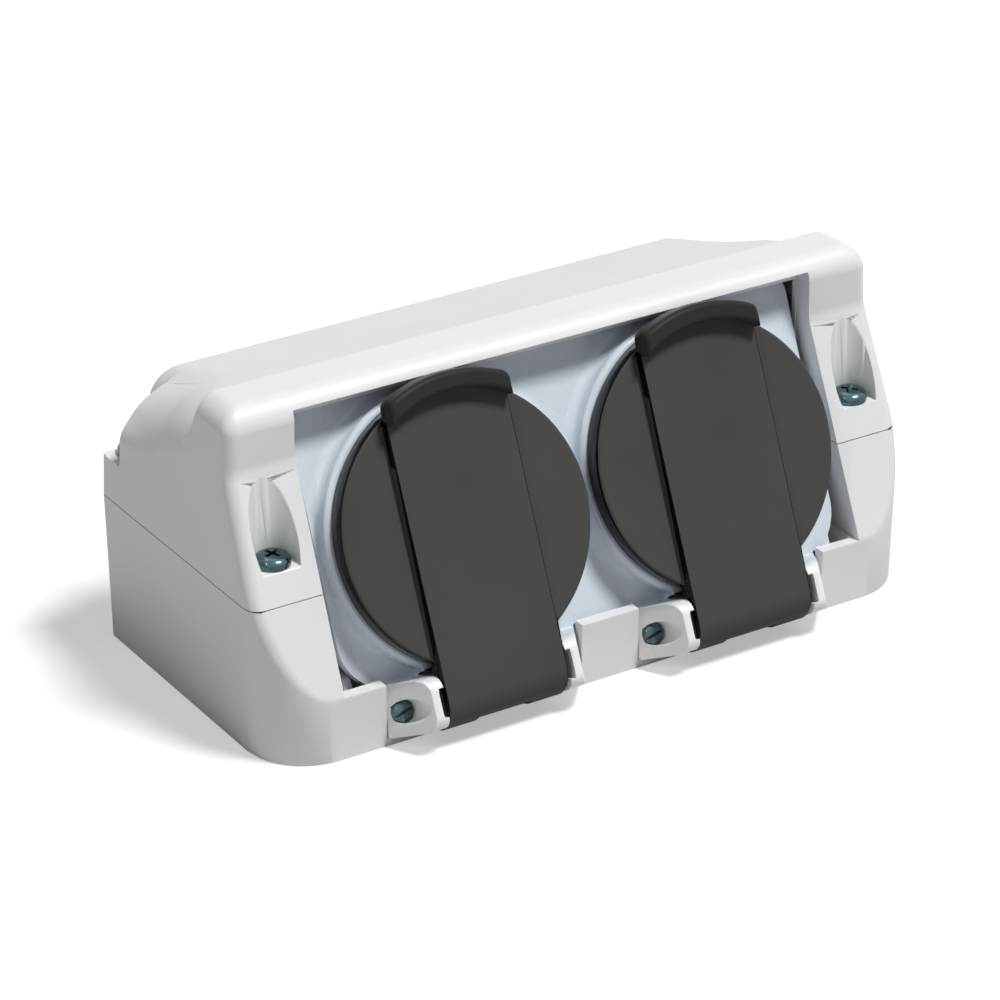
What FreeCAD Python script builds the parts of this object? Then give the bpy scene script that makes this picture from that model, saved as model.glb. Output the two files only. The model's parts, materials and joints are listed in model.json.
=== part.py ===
import FreeCAD, Part
import os
import re
import Sketcher

# Twin outdoor socket lying on its wall face, in millimetres.
# X runs along the length, the lids face -Y, +Z points away from the wall.
# The origin is in the middle of the wall face, under the middle of the housing.
# Pieces of the tilted socket unit are drawn in a unit frame: x along the hinge,
# y up the slope and z out of the slope, with the hinge axis as origin.

Vector = FreeCAD.Vector
doc = FreeCAD.newDocument("outdoor_socket")
sheet = doc.addObject("Spreadsheet::Sheet", "dims")

SIZES = [
    ("end_room", 51.15, "socket middle to the housing end"),
    ("base_lean", 0.8, "lean of an end from the joint down to the wall face"),
    ("hood_lean", 1.8, "lean of an end from the joint up to the hood"),
    ("half_depth", 37.7, "half of the housing depth"),
    ("split_z", 34.9, "height of the joint between base and cover"),
    ("split_gap", 0.15, "half width of the visible joint line"),
    ("slope", 66.3, "tilt of the lid plane in degrees"),
    ("front_z", 14.6, "height of the upright front wall"),
    ("hood_band", 13.93, "height of the upright hood face with its top round"),
    ("hood_room", 4.25, "hood top above the upper edge of the plate"),
    ("hood_depth", 13.8, "depth of the hood from its face to the step"),
    ("hood_step", 1.4, "height of the step behind the hood"),
    ("roof_fall", 14.3, "fall of the roof from the hood to the rear edge"),
    ("wall", 2.8, "housing wall"),
    ("floor_z", 2.6, "thickness of the back plate of the base"),
    ("corner_front", 14.0, "upright front corner radius"),
    ("corner_rear", 1.8, "upright rear corner radius"),
    ("knee_round", 8.0, "round between slope and hood face"),
    ("edge_round", 3.0, "round along the front end edges"),
    ("top_round", 5.4, "round over the front of the hood"),
    ("top_end_round", 6.4, "round over the ends of the hood at its rear"),
    ("step_round", 1.3, "round of the step behind the hood"),
    ("shoulder_round", 12.9, "round over the ends of the rear shoulder"),
    ("shoulder_start", 13.0, "distance behind the middle where the shoulder is full"),
    ("saddle_round", 5.2, "shoulder round where it meets the hood"),
    ("rear_round", 2.0, "round along the rear top edge"),
    ("notch_width", 12.6, "width of a rear corner notch"),
    ("notch_depth", 8.4, "depth of a rear corner notch"),
    ("notch_height", 16.2, "height of a rear corner notch"),
    ("notch_round", 2.6, "round of the notch corners"),
    ("open_margin", 3.25, "gap between a collar and the side of the opening"),
    ("open_lean", 1.1, "lean of the sides of the opening"),
    ("roof_lip", 3.9, "height of the hood face above the opening"),
    ("open_round", 1.2, "round of the top corners of the opening"),
    ("pillar_depth", 6.3, "depth of the end pillars behind the hood face"),
    ("flange_drop", 2.0, "height of the inner flange behind the opening"),
    ("flange_depth", 4.9, "distance of the inner flange behind the hood face"),
    ("flange_thick", 1.8, "thickness of the inner flange"),
    ("screw_shift", 0.7, "front cover screws inside the middle of their pillar"),
    ("screw_inset", 15.8, "front cover screws behind the front wall"),
    ("rear_screw_end", 6.7, "rear cover screws from the housing end"),
    ("rear_screw_rear", 4.3, "rear cover screws from the rear wall"),
    ("pocket_drop", 9.3, "floor of a front screw pocket below the slope"),
    ("pocket_shift", 1.2, "front screw pockets in front of their screws"),
    ("pocket_room", 1.25, "room round a front screw head"),
    ("head_radius", 3.95, "cover screw head radius"),
    ("head_height", 2.6, "cover screw head height"),
    ("shank_radius", 1.9, "cover screw shank radius"),
    ("shank_depth", 16.0, "cover screw length below the joint"),
    ("screw_clear", 0.08, "clearance of a screw in its hole"),
    ("screw_point", 0.5, "share of the shank at the tip of a screw"),
    ("head_side", 0.7, "share of a screw head that stays upright"),
    ("head_top", 0.85, "share of a screw head across its top"),
    ("drive_arm", 2.1, "half length of a drive recess arm"),
    ("drive_width", 0.9, "width of a drive recess arm"),
    ("drive_depth", 1.1, "depth of a drive recess"),
    ("seal_width", 1.2, "width of the joint seal"),
    ("seal_depth", 1.3, "depth of the seal groove in the base"),
    ("seal_rise", 0.5, "rise of the seal above the joint"),
    ("seal_clear", 0.1, "clearance around the joint seal"),
    ("seal_stop", 2.0, "end of the joint seal in front of the pillars"),
    ("lid_gap", 3.4, "gap between the two lids"),
    ("hinge_out", 2.8, "hinge axis in front of the front wall"),
    ("hinge_z", 9.4, "hinge axis above the wall face"),
    ("lip_z", 2.0, "height of the base lip under the hinges"),
    ("bay_clear", 0.25, "hinge bay beyond the ears"),
    ("bay_back", 0.2, "hinge bays beyond the inner face of the front wall"),
    ("fit_gap", 0.3, "gap between parts that move past each other"),
    ("overlap", 1.0, "reach of a piece or tool into what it joins or cuts"),
    ("disc_radius", 30.05, "lid radius"),
    ("hinge_reach", 4.35, "lid edge above the hinge, up the slope"),
    ("disc_face", 4.7, "lid face above the hinge plane"),
    ("disc_edge", 0.9, "round of the lid edge"),
    ("lid_wall", 2.2, "lid wall"),
    ("rim_wall", 2.4, "thickness of the lid rim"),
    ("rim_back", 0.3, "height of the rim edge above the collar"),
    ("band_half", 14.75, "half width of the raised lid band"),
    ("band_face", 6.6, "face of the lid band above the hinge plane"),
    ("barrel_radius", 6.6, "radius of the lid barrel"),
    ("lip_back", 1.35, "foot of the finger lip inside the lid edge"),
    ("lip_out", 2.95, "reach of the finger lip beyond the lid edge"),
    ("lip_under", 5.3, "underside of the finger lip"),
    ("lip_face", 10.3, "top of the finger lip"),
    ("lip_corner", 2.4, "corner radius of the finger lip"),
    ("lip_edge", 1.3, "edge round of the finger lip"),
    ("hub_radius", 2.9, "radius of the hinge hub"),
    ("hub_length", 0.9, "length of the hinge hub"),
    ("seal_band", 2.6, "width of the lid seal"),
    ("seal_bevel", 0.8, "bevel of the sealing edge"),
    ("keeper_gap", 0.2, "gap between the lid seal and its holder"),
    ("seal_slack", 0.15, "gap between the lid rim and its seal"),
    ("keeper_wall", 1.5, "wall of the ring that holds the lid seal"),
    ("keeper_drop", 1.4, "height of the ring that holds the lid seal"),
    ("pin_radius", 1.25, "hinge pin radius"),
    ("pin_clear", 0.05, "clearance around the hinge pin"),
    ("pin_wall", 1.3, "wall between the hinge pin and the screw pocket"),
    ("pin_inset", 3.25, "hinge pin inside the right ear"),
    ("spring_half", 6.5, "half width of the spring recess"),
    ("spring_recess", 4.5, "reach of the spring recess up the slope"),
    ("spring_skin", 3.2, "face of the band skin over the spring"),
    ("coil_radius", 2.2, "mean radius of the spring coil"),
    ("wire_radius", 0.4, "spring wire radius"),
    ("coil_pitch", 1.5, "pitch of the spring coil"),
    ("coil_turns", 5.0, "turns of the spring coil"),
    ("plate_side", 0.55, "plate beyond the collar at its ends"),
    ("plate_low", 4.9, "lower edge of the plate, up the slope"),
    ("plate_above", 1.3, "plate beyond the collar at its upper edge"),
    ("plate_front", 4.4, "plate face below the hinge plane"),
    ("plate_thick", 2.6, "plate thickness"),
    ("plate_corner", 11.0, "lower corner radius of the plate"),
    ("plate_top_corner", 3.0, "upper corner radius of the plate"),
    ("collar_ledge", 1.25, "collar beyond the lid edge"),
    ("seal_inset", 0.5, "collar opening inside the lid seal"),
    ("collar_edge", 0.8, "bevel of the collar edge"),
    ("trough_clear", 0.3, "clearance between lid barrel and trough"),
    ("trough_wall", 1.6, "wall of the trough behind the barrel"),
    ("trough_angle", 108.0, "sweep of the trough in degrees"),
    ("ear_gap", 0.4, "gap between lid band and hinge ear"),
    ("ear_high", 5.7, "half height of a hinge ear"),
    ("ear_round", 3.2, "front round of a hinge ear"),
    ("ear_inset", 5.8, "outer end of a hinge ear inside the lid edge"),
    ("ear_foot", 2.3, "height of the ear underside above the wall face"),
    ("foot_low", 14.0, "reach of the ear foot below the hinge plane"),
    ("foot_high", 9.0, "reach of the ear foot above the hinge plane"),
    ("ramp_inset", 3.45, "foot of the slanted ear face from the band"),
    ("ramp_low", 4.0, "depth of the slanted ear face at its outer end"),
    ("ear_slot", 3.2, "half width of the slot for the hinge hub"),
    ("fix_inset", 2.95, "fixing screw inside the end of its ear"),
    ("fix_s", 0.5, "fixing screw below the hinge axis"),
    ("fix_pocket", 2.6, "radius of the fixing screw pocket"),
    ("fix_seat", 2.9, "seat of the fixing screw below the hinge plane"),
    ("fix_clear", 0.15, "clearance round the fixing screw head"),
    ("fix_head_height", 1.9, "fixing screw head height"),
    ("fix_shank", 1.4, "fixing screw shank radius"),
    ("fix_tip", 12.8, "tip of the fixing screw below the hinge plane"),
    ("screw_end", 0.4, "room below the tip of a fixing screw"),
    ("block_half", 3.6, "half width of the fixing screw block"),
    ("block_reach", 8.5, "depth of the fixing screw block"),
    ("insert_face", 1.0, "face of the insert below the hinge plane"),
    ("insert_seat", 3.5, "underside of the insert flange"),
    ("seat_width", 2.6, "width of the ledge that carries the insert"),
    ("insert_clear", 0.2, "clearance around the insert body"),
    ("well_wall", 2.05, "wall of the plug well"),
    ("well_depth", 17.5, "depth of the plug well"),
    ("well_floor", 2.0, "thickness of the well floor"),
    ("well_edge", 0.6, "bevel of the well edge"),
    ("key_half", 2.0, "half width of a plug key"),
    ("key_reach", 2.0, "height of a plug key"),
    ("pin_hole", 2.6, "radius of a contact hole"),
    ("pin_half", 9.5, "half of the distance between the contact holes"),
    ("earth_slot", 3.0, "half width of an earth slot"),
    ("earth_slot_top", 6.0, "upper end of an earth slot below the hinge plane"),
    ("carrier_inset", 2.3, "contact carrier inside the insert body"),
    ("carrier_depth", 9.5, "depth of the contact carrier"),
    ("strap_half", 2.6, "half width of the earth strap"),
    ("strap_thick", 0.8, "thickness of the earth strap"),
    ("arm_gap", 0.45, "gap between the well and an earth arm"),
    ("nose_reach", 1.5, "reach of an earth nose into the well"),
    ("nose_drop", 2.6, "distance of an earth nose below the tip of its arm"),
    ("nose_length", 1.0, "length of an earth nose"),
    ("nose_run", 2.4, "run of an earth nose back to its arm"),
    ("tip_drop", 0.6, "distance of an earth arm below the end of its slot"),
    ("sleeve_bore", 2.4, "bore of a contact sleeve"),
    ("sleeve_wall", 0.9, "wall of a contact sleeve"),
    ("sleeve_length", 8.5, "length of a contact sleeve"),
    ("slit_half", 0.35, "half width of the slit in a contact sleeve"),
    ("block_side", 3.4, "half width of a terminal block"),
    ("block_length", 7.5, "length of a terminal block"),
    ("earth_side", 2.8, "half width of the earth terminal"),
    ("earth_extra", 4.6, "length of the earth terminal beyond the others"),
    ("contact_clear", 0.1, "clearance around a contact"),
    ("bar_side", 1.1, "half thickness of a link bar"),
    ("bar_clear", 0.05, "clearance around a link bar in its terminal"),
    ("bar_level", 0.4, "distance of a link bar beyond the terminal screw"),
    ("bar_end", 0.6, "distance of a link bar end from the terminal middle"),
    ("bar_drop", 8.0, "offset of the live and neutral link bars"),
    ("earth_bar_drop", 6.0, "offset of the earth link bar"),
    ("terminal_head", 2.3, "terminal screw head radius"),
    ("terminal_head_height", 1.3, "terminal screw head height"),
    ("terminal_shank", 1.2, "terminal screw shank radius"),
    ("terminal_reach", 3.6, "terminal screw length in the block"),
    ("entry_shift", 6.25, "cable entries outside their socket"),
    ("entry_z", 18.2, "height of the cable entries"),
    ("entry_radius", 10.2, "cable entry radius"),
    ("grommet_rim", 1.6, "flange of the cable grommet round its entry"),
    ("grommet_flange_thick", 1.3, "flange thickness of the cable grommet"),
    ("grommet_membrane", 1.0, "membrane thickness of the cable grommet"),
    ("grommet_clear", 0.15, "clearance around the cable grommet"),
    ("grommet_step", 2.0, "slope of the funnel inside the cable grommet"),
    ("grommet_lip", 1.5, "width of the grommet lip"),
    ("mount_inset", 8.6, "wall screw holes inside the plate ends"),
    ("mount_front_in", 18.7, "front wall screw holes behind the front wall"),
    ("mount_rear_in", 14.7, "rear wall screw holes from the rear wall"),
    ("mount_radius", 2.5, "wall screw hole radius"),
    ("mount_boss", 4.6, "radius of the boss round a wall screw hole"),
    ("mount_boss_height", 1.6, "height of the boss round a wall screw hole"),
    ("rib_inset", 1.8, "outer plate ribs inside the plate ends"),
    ("rib_half", 1.1, "half thickness of a plate rib"),
    ("rib_depth", 5.0, "depth of a plate rib at the joint"),
]

# Sizes that follow from the ones above
LINKED = [
    ("pitch", "disc_radius * 2 + lid_gap", "distance between the two sockets"),
    ("length", "pitch + end_room * 2", "housing length at the joint"),
    ("end_low", "length/2 - base_lean", "half of the length at the wall face"),
    ("end_top", "length/2 - hood_lean", "half of the length at the top of the hood"),
    ("disc_s", "disc_radius + hinge_reach", "lid centre above the hinge, up the slope"),
    ("collar_outer", "disc_radius + collar_ledge", "outer radius of the collar"),
    ("plate_half", "pitch/2 + collar_outer + plate_side", "half width of the socket plate"),
    ("plate_high", "disc_s + collar_outer + plate_above", "upper edge of the plate, up the slope"),
    ("hood_z", "hinge_z + plate_high * sin(slope) + hood_room", "height of the hood"),
    ("hood_face", "half_depth - (hood_z - hood_band - front_z) / tan(slope)",
     "distance of the hood face in front of the middle"),
    ("hood_back", "hood_face - hood_depth", "distance of the hood step in front of the middle"),
    ("rear_z", "hood_z - roof_fall", "height of the rear edge"),
    ("notch_z", "rear_z - notch_height", "height of the notch ledge"),
    ("open_half", "pitch/2 + collar_outer + open_margin", "half width of the opening at its foot"),
    ("open_high", "open_half - open_lean", "half width of the opening at its top"),
    ("open_top", "hood_z - roof_lip", "height of the top of the opening"),
    ("pillar_back", "hood_face - pillar_depth",
     "distance of the rear of the end pillars in front of the middle"),
    ("flange_face", "hood_face - flange_depth", "distance of the inner flange in front of the middle"),
    ("screw_x", "(open_half + length/2) / 2 - screw_shift", "front cover screws from the middle"),
    ("screw_y", "half_depth - screw_inset", "front cover screws in front of the middle"),
    ("rear_screw_x", "length/2 - rear_screw_end", "rear cover screws from the middle"),
    ("rear_screw_y", "half_depth - rear_screw_rear", "rear cover screws behind the middle"),
    ("pocket_y", "screw_y + pocket_shift", "front screw pockets in front of the middle"),
    ("pocket_z", "front_z + screw_inset * tan(slope) - pocket_drop",
     "floor height of the front screw pockets"),
    ("pocket_radius", "head_radius + pocket_room", "screw pocket radius"),
    ("hinge_y", "half_depth + hinge_out", "hinge axis in front of the middle"),
    ("seal_outer", "disc_radius - rim_wall - seal_slack", "outer radius of the lid seal"),
    ("seal_inner", "seal_outer - seal_band", "inner radius of the lid seal"),
    ("collar_inner", "seal_inner - seal_inset", "inner radius of the collar"),
    ("lip_inner", "disc_radius - lip_back", "inner radius of the finger lip about the lid centre"),
    ("lip_outer", "disc_radius + lip_out", "outer radius of the finger lip about the lid centre"),
    ("lip_far", "disc_s + sqrt(lip_outer^2 - band_half^2) - overlap",
     "lid edge of the finger lip, up the slope"),
    ("ear_end", "disc_radius - ear_inset", "outer end of a hinge ear"),
    ("bay_half", "ear_end + bay_clear", "half width of a hinge bay in the front wall"),
    ("ramp_end", "band_half + ramp_inset", "where the slanted ear face ends"),
    ("fix_x", "ear_end - fix_inset", "fixing screw from the socket middle"),
    ("pin_right", "ear_end - pin_inset", "reach of the hinge pin to the right"),
    ("pin_left", "fix_x - fix_pocket - pin_wall", "reach of the hinge pin to the left"),
    ("fix_head", "fix_pocket - fix_clear", "fixing screw head radius"),
    ("insert_flange", "collar_inner - fit_gap", "flange radius of the socket insert"),
    ("insert_radius", "collar_inner - seat_width", "outer radius of the insert body"),
    ("well_radius", "insert_radius - well_wall", "radius of the plug well"),
    ("carrier_radius", "insert_radius - carrier_inset", "radius of the contact carrier"),
    ("strap_arm", "well_radius + arm_gap", "inner face of an earth arm from the socket middle"),
    ("entry_x", "pitch/2 + entry_shift", "cable entries from the middle"),
    ("grommet_flange", "entry_radius + grommet_rim", "flange radius of the cable grommet"),
    ("mount_x", "plate_half - mount_inset", "wall screw holes from the middle"),
    ("mount_front", "half_depth - mount_front_in", "front wall screw holes in front of the middle"),
    ("mount_rear", "half_depth - mount_rear_in", "rear wall screw holes behind the middle"),
    ("rib_x", "plate_half - rib_inset", "outer plate rib from the middle"),
]

for row, (alias, value, meaning) in enumerate(SIZES, start=1):
    sheet.set("A%d" % row, meaning)
    sheet.set("B%d" % row, "%g" % value)
    sheet.setAlias("B%d" % row, alias)
doc.recompute()
for row, (alias, rule_text, meaning) in enumerate(LINKED, start=len(SIZES) + 1):
    sheet.set("A%d" % row, meaning)
    sheet.set("B%d" % row, "=" + rule_text)
    sheet.setAlias("B%d" % row, alias)
    doc.recompute()

ALIASES = {line[0] for line in SIZES + LINKED}


def formula(text):
    """Write a formula in plain size names as an expression on the sheet."""
    return re.sub(r"[a-z_]+", lambda m: "dims." + m.group() if m.group() in ALIASES else m.group(), text)


def size(text):
    """Value of a formula in plain size names."""
    result = sheet.evalExpression(formula(text))
    return float(getattr(result, "Value", result))


def bind(thing, prop, text):
    """Bind a property of an object to a formula."""
    thing.setExpression(prop, formula(text))


# Sketches and features of bodies

def new_body(name):
    """Start a part design body."""
    return doc.addObject("PartDesign::Body", name)


def attach(body, sketch, plane, shift):
    """Attach a sketch to an origin plane of its body, moved by three formulas."""
    origin = next(f for f in body.Origin.OriginFeatures if f.Role == plane)
    sketch.AttachmentSupport = [(origin, "")]
    sketch.MapMode = "FlatFace"
    for axis, text in zip("xyz", shift):
        if text != "0":
            bind(sketch, "AttachmentOffset.Base." + axis, text)


def rule(sketch, name, text, kind, *where):
    """Add a named constraint whose value is bound to a formula."""
    constraint = Sketcher.Constraint(kind, *where, size(text))
    constraint.Name = name
    sketch.addConstraint(constraint)
    bind(sketch, "Constraints." + name, text)


def pin_point(sketch, index, end, point, label):
    """Fix one end of a sketch edge with two bound distances."""
    rule(sketch, label + "x", point[0], "DistanceX", -1, 1, index, end)
    rule(sketch, label + "y", point[1], "DistanceY", -1, 1, index, end)


def outline(body, name, plane, corners, shift=("0", "0", "0")):
    """Closed outline through corners that are given as pairs of formulas."""
    sketch = body.newObject("Sketcher::SketchObject", name)
    attach(body, sketch, plane, shift)
    points = [Vector(size(x), size(y), 0) for x, y in corners]
    count = len(points)
    for index in range(count):
        sketch.addGeometry(Part.LineSegment(points[index], points[(index + 1) % count]), False)
    for index in range(count):
        sketch.addConstraint(Sketcher.Constraint("Coincident", index, 2, (index + 1) % count, 1))
    for index, corner in enumerate(corners):
        pin_point(sketch, index, 1, corner, "p%d" % index)
    return sketch


def rectangle(body, name, plane, x_low, x_high, y_low, y_high, shift=("0", "0", "0")):
    """Rectangle between four formulas."""
    corners = [(x_low, y_low), (x_high, y_low), (x_high, y_high), (x_low, y_high)]
    return outline(body, name, plane, corners, shift)


def circle(body, name, plane, centre, radius, shift=("0", "0", "0")):
    """Circle with a bound centre and radius."""
    sketch = body.newObject("Sketcher::SketchObject", name)
    attach(body, sketch, plane, shift)
    middle = Vector(size(centre[0]), size(centre[1]), 0)
    sketch.addGeometry(Part.Circle(middle, Vector(0, 0, 1), size(radius)), False)
    pin_point(sketch, 0, 3, centre, "c")
    rule(sketch, "radius", radius, "Radius", 0)
    return sketch


def extrude(body, kind, sketch, length, both=False, back=False):
    """Pad or pocket of a sketch, to one side or to both."""
    feature = body.newObject("PartDesign::" + kind, sketch.Name + "_" + kind.lower())
    feature.Profile = sketch
    bind(feature, "Length", length)
    feature.Midplane = both
    feature.Reversed = back
    body.Tip = feature
    return feature


def pad(body, sketch, length, both=False, back=False):
    """Add the extrusion of a sketch."""
    return extrude(body, "Pad", sketch, length, both, back)


def pocket(body, sketch, length, both=False, back=False):
    """Remove the extrusion of a sketch."""
    return extrude(body, "Pocket", sketch, length, both, back)


def turn(body, sketch, axis, kind="Revolution", angle="360", back=False):
    """Revolve a sketch about one of its own axes, to add or to remove."""
    feature = body.newObject("PartDesign::" + kind, sketch.Name + "_turn")
    feature.Profile = sketch
    feature.ReferenceAxis = (sketch, [axis])
    bind(feature, "Angle", angle)
    feature.Reversed = back
    body.Tip = feature
    return feature


def soften(body, name, radius, test, kind="Fillet"):
    """Round or bevel the edges of the tip that pass a test."""
    doc.recompute()
    base = body.Tip
    names = ["Edge%d" % (i + 1) for i, edge in enumerate(base.Shape.Edges) if test(edge)]
    feature = body.newObject("PartDesign::" + kind, name)
    feature.Base = (base, names)
    bind(feature, "Radius" if kind == "Fillet" else "Size", radius)
    body.Tip = feature
    return feature


def near(value, text):
    """True where a coordinate equals a formula."""
    return abs(value - size(text)) < 0.001


def combine(kind, name, base, tools):
    """Cut, fuse or intersect a base with one or more tools."""
    if len(tools) > 1:
        merged = doc.addObject("Part::MultiFuse", name + "_tools")
        merged.Shapes = tools
    else:
        merged = tools[0]
    result = doc.addObject("Part::" + kind, name)
    result.Base = base
    result.Tool = merged
    return result


def round_edges(name, base, radius, test):
    """Round the edges of a finished solid that pass a test.

    The radius is a formula, or a function that gives the formula for the
    place along Y where an edge starts or ends.
    """
    doc.recompute()
    radius_at = radius if callable(radius) else lambda y: radius
    result = doc.addObject("Part::Fillet", name)
    result.Base = base
    rounds = []
    for index, edge in enumerate(base.Shape.Edges, start=1):
        if test(edge):
            start, end = edge.Vertexes[0].Point.y, edge.Vertexes[-1].Point.y
            rounds.append((index, size(radius_at(start)), size(radius_at(end))))
    result.Edges = rounds
    return result


NODES = []


def finish(piece, label, unit_x=None):
    """Name a finished piece and, for the socket unit, put it on the tilted hinge axis."""
    piece.Label = label
    if unit_x is not None:
        piece.Placement = FreeCAD.Placement(Vector(), FreeCAD.Rotation(Vector(1, 0, 0), size("slope")))
        bind(piece, "Placement.Base.x", unit_x)
        bind(piece, "Placement.Base.y", "-hinge_y")
        bind(piece, "Placement.Base.z", "hinge_z")
    NODES.append(piece)


SIDES = [("left", "-"), ("right", "")]


# Outer forms of the base and of the cover, which meet at the joint

def corner_block(name, low, high, z_low, z_high):
    """Block between two heights whose ends lean and whose front corners are round."""
    body = new_body(name)
    face = outline(body, name + "_ends", "XZ_Plane", [
        ("-(%s)" % low, z_low), (low, z_low), (high, z_high), ("-(%s)" % high, z_high)])
    pad(body, face, "half_depth * 2", both=True)
    upright = lambda edge: edge.BoundBox.ZLength > 1
    soften(body, name + "_front", "corner_front", lambda e: upright(e) and e.CenterOfMass.y < 0)
    return body


def slope_y(z):
    """Where the slope is, at a height above the wall face."""
    return "(-half_depth + (%s - front_z) / tan(slope))" % z


def roof_z(y):
    """Height of the rear roof, at a distance behind the middle."""
    fall = "(hood_z - hood_step - rear_z) / (half_depth + hood_back)"
    return "(hood_z - hood_step - ((%s) + hood_back) * %s)" % (y, fall)


def profile_block(name, corners):
    """Block with a side profile, wider than the housing."""
    body = new_body(name)
    pad(body, outline(body, name + "_profile", "YZ_Plane", corners), "length * 2", both=True)
    return body


def end_edges(low, high, rear):
    """Test for the edges round both ends of the front face, between two heights."""
    z_low, z_high, y_rear = size(low), size(high), size(rear)

    def test(edge):
        centre = edge.CenterOfMass
        inside = abs(centre.x) < size("end_low - corner_front - overlap")
        between = z_low + 0.01 < centre.z < z_high - 0.01
        upright = edge.BoundBox.ZLength > 1 and edge.BoundBox.ZMin > z_low - 0.01
        return upright and between and not inside and centre.y < y_rear + 0.01

    return test


def make_base_form():
    """Outer form of the base: upright front wall, the foot of the slope and the rear wall."""
    block = corner_block("base_block", "end_low", "length/2", "0", "split_z")
    soften(block, "base_block_rear", "corner_rear",
           lambda e: e.BoundBox.ZLength > 1 and near(e.CenterOfMass.y, "half_depth"))
    side = profile_block("base_side", [
        ("-half_depth", "0"), ("-half_depth", "front_z"), (slope_y("split_z"), "split_z"),
        ("half_depth + overlap", "split_z"), ("half_depth + overlap", "0")])
    form = combine("Common", "base_form", side, [block])
    return round_edges("base_ends", form, "edge_round", end_edges("front_z", "split_z", "-hood_face"))


def make_hood_form(block):
    """Front of the cover: slope, knee, hood face and hood, with rounded ends."""
    knee_z = "(front_z + (half_depth - hood_face) * tan(slope))"
    side = profile_block("hood_side", [
        (slope_y("split_z"), "split_z"), ("-hood_face", knee_z), ("-hood_face", "hood_z"),
        ("-hood_back", "hood_z"), ("-hood_back", "split_z")])
    form = combine("Common", "hood_form", side, [block])
    knee = round_edges("hood_knee", form, "knee_round",
                       lambda e: near(e.CenterOfMass.y, "-hood_face") and near(e.CenterOfMass.z, knee_z))
    ends = round_edges("hood_ends", knee, "edge_round", end_edges("split_z", "hood_z", "-hood_face"))
    top = lambda edge: near(edge.BoundBox.ZMin, "hood_z")
    rear = lambda edge: near(edge.CenterOfMass.y, "-hood_back")

    def top_radius(y):
        return "top_end_round" if near(y, "-hood_back") else "top_round"

    over = round_edges("hood_over", ends, top_radius, lambda e: top(e) and not rear(e))
    return round_edges("hood_rear_edge", over, "step_round", lambda e: top(e) and rear(e))


def make_shoulder_form(block):
    """Rear of the cover: falling roof whose end rounds grow from the hood to the rear."""
    inside_y = "(-hood_back - step_round * 2)"
    saddle = profile_block("saddle_side", [
        (inside_y, "split_z"), (inside_y, "hood_z - hood_step"), ("-hood_back", "hood_z - hood_step"),
        ("shoulder_start", roof_z("shoulder_start")), ("shoulder_start", "split_z")])
    shoulder = profile_block("shoulder_side", [
        ("shoulder_start", "split_z"), ("shoulder_start", roof_z("shoulder_start")),
        ("half_depth", roof_z("half_depth")), ("half_depth", "split_z")])
    both = doc.addObject("Part::MultiFuse", "shoulder_sides")
    both.Shapes = [saddle, shoulder]
    both.Refine = False
    form = combine("Common", "shoulder_form", both, [block])
    form.Refine = False

    def end_radius(y):
        return "shoulder_round" if y > size("shoulder_start - overlap") else "saddle_round"

    return round_edges("shoulder_ends", form, end_radius,
                       lambda e: abs(e.CenterOfMass.x) > size("end_top - edge_round")
                       and e.BoundBox.YLength > 1 and e.CenterOfMass.z > size("rear_z - overlap"))


def make_cover_form(notches):
    """Outer form of the cover with its rear notches and rounded rear edges."""
    lean = "(length/2 - end_top) / (hood_z - split_z)"
    block = corner_block("cover_block", "length/2", "end_top - wall * " + lean, "split_z",
                         "hood_z + wall")
    whole = combine("Fuse", "cover_form", make_hood_form(block), [make_shoulder_form(block)])
    whole.Refine = True
    notched = combine("Cut", "cover_notched", whole, [notches])
    rear = lambda edge: near(edge.CenterOfMass.y, "half_depth")
    corners = round_edges("cover_rear_corners", notched, "corner_rear",
                          lambda e: rear(e) and e.BoundBox.ZLength > size("rear_round * 2")
                          and near(e.BoundBox.ZMin, "split_z")
                          and abs(e.CenterOfMass.x) > size("end_top"))
    return round_edges("cover_rear_top", corners, "rear_round",
                       lambda e: rear(e) and near(e.CenterOfMass.z,
                                                  "rear_z") and e.BoundBox.ZLength < 0.001)


def make_notches():
    """Two corner blocks that leave the rear notches of the cover."""
    body = new_body("notch_tools")
    for side, sign in SIDES:
        corner = rectangle(
            body, "notch_" + side, "XY_Plane",
            sign + "(length/2 - notch_width)", sign + "(length/2 + wall)",
            "half_depth - notch_depth", "half_depth + wall", ("0", "0", "notch_z"))
        pad(body, corner, "hood_z")
    soften(body, "notch_corners", "notch_round",
           lambda e: e.BoundBox.ZLength > 1 and near(e.CenterOfMass.y, "half_depth - notch_depth")
           and abs(e.CenterOfMass.x) < size("length/2"))
    return body


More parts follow.
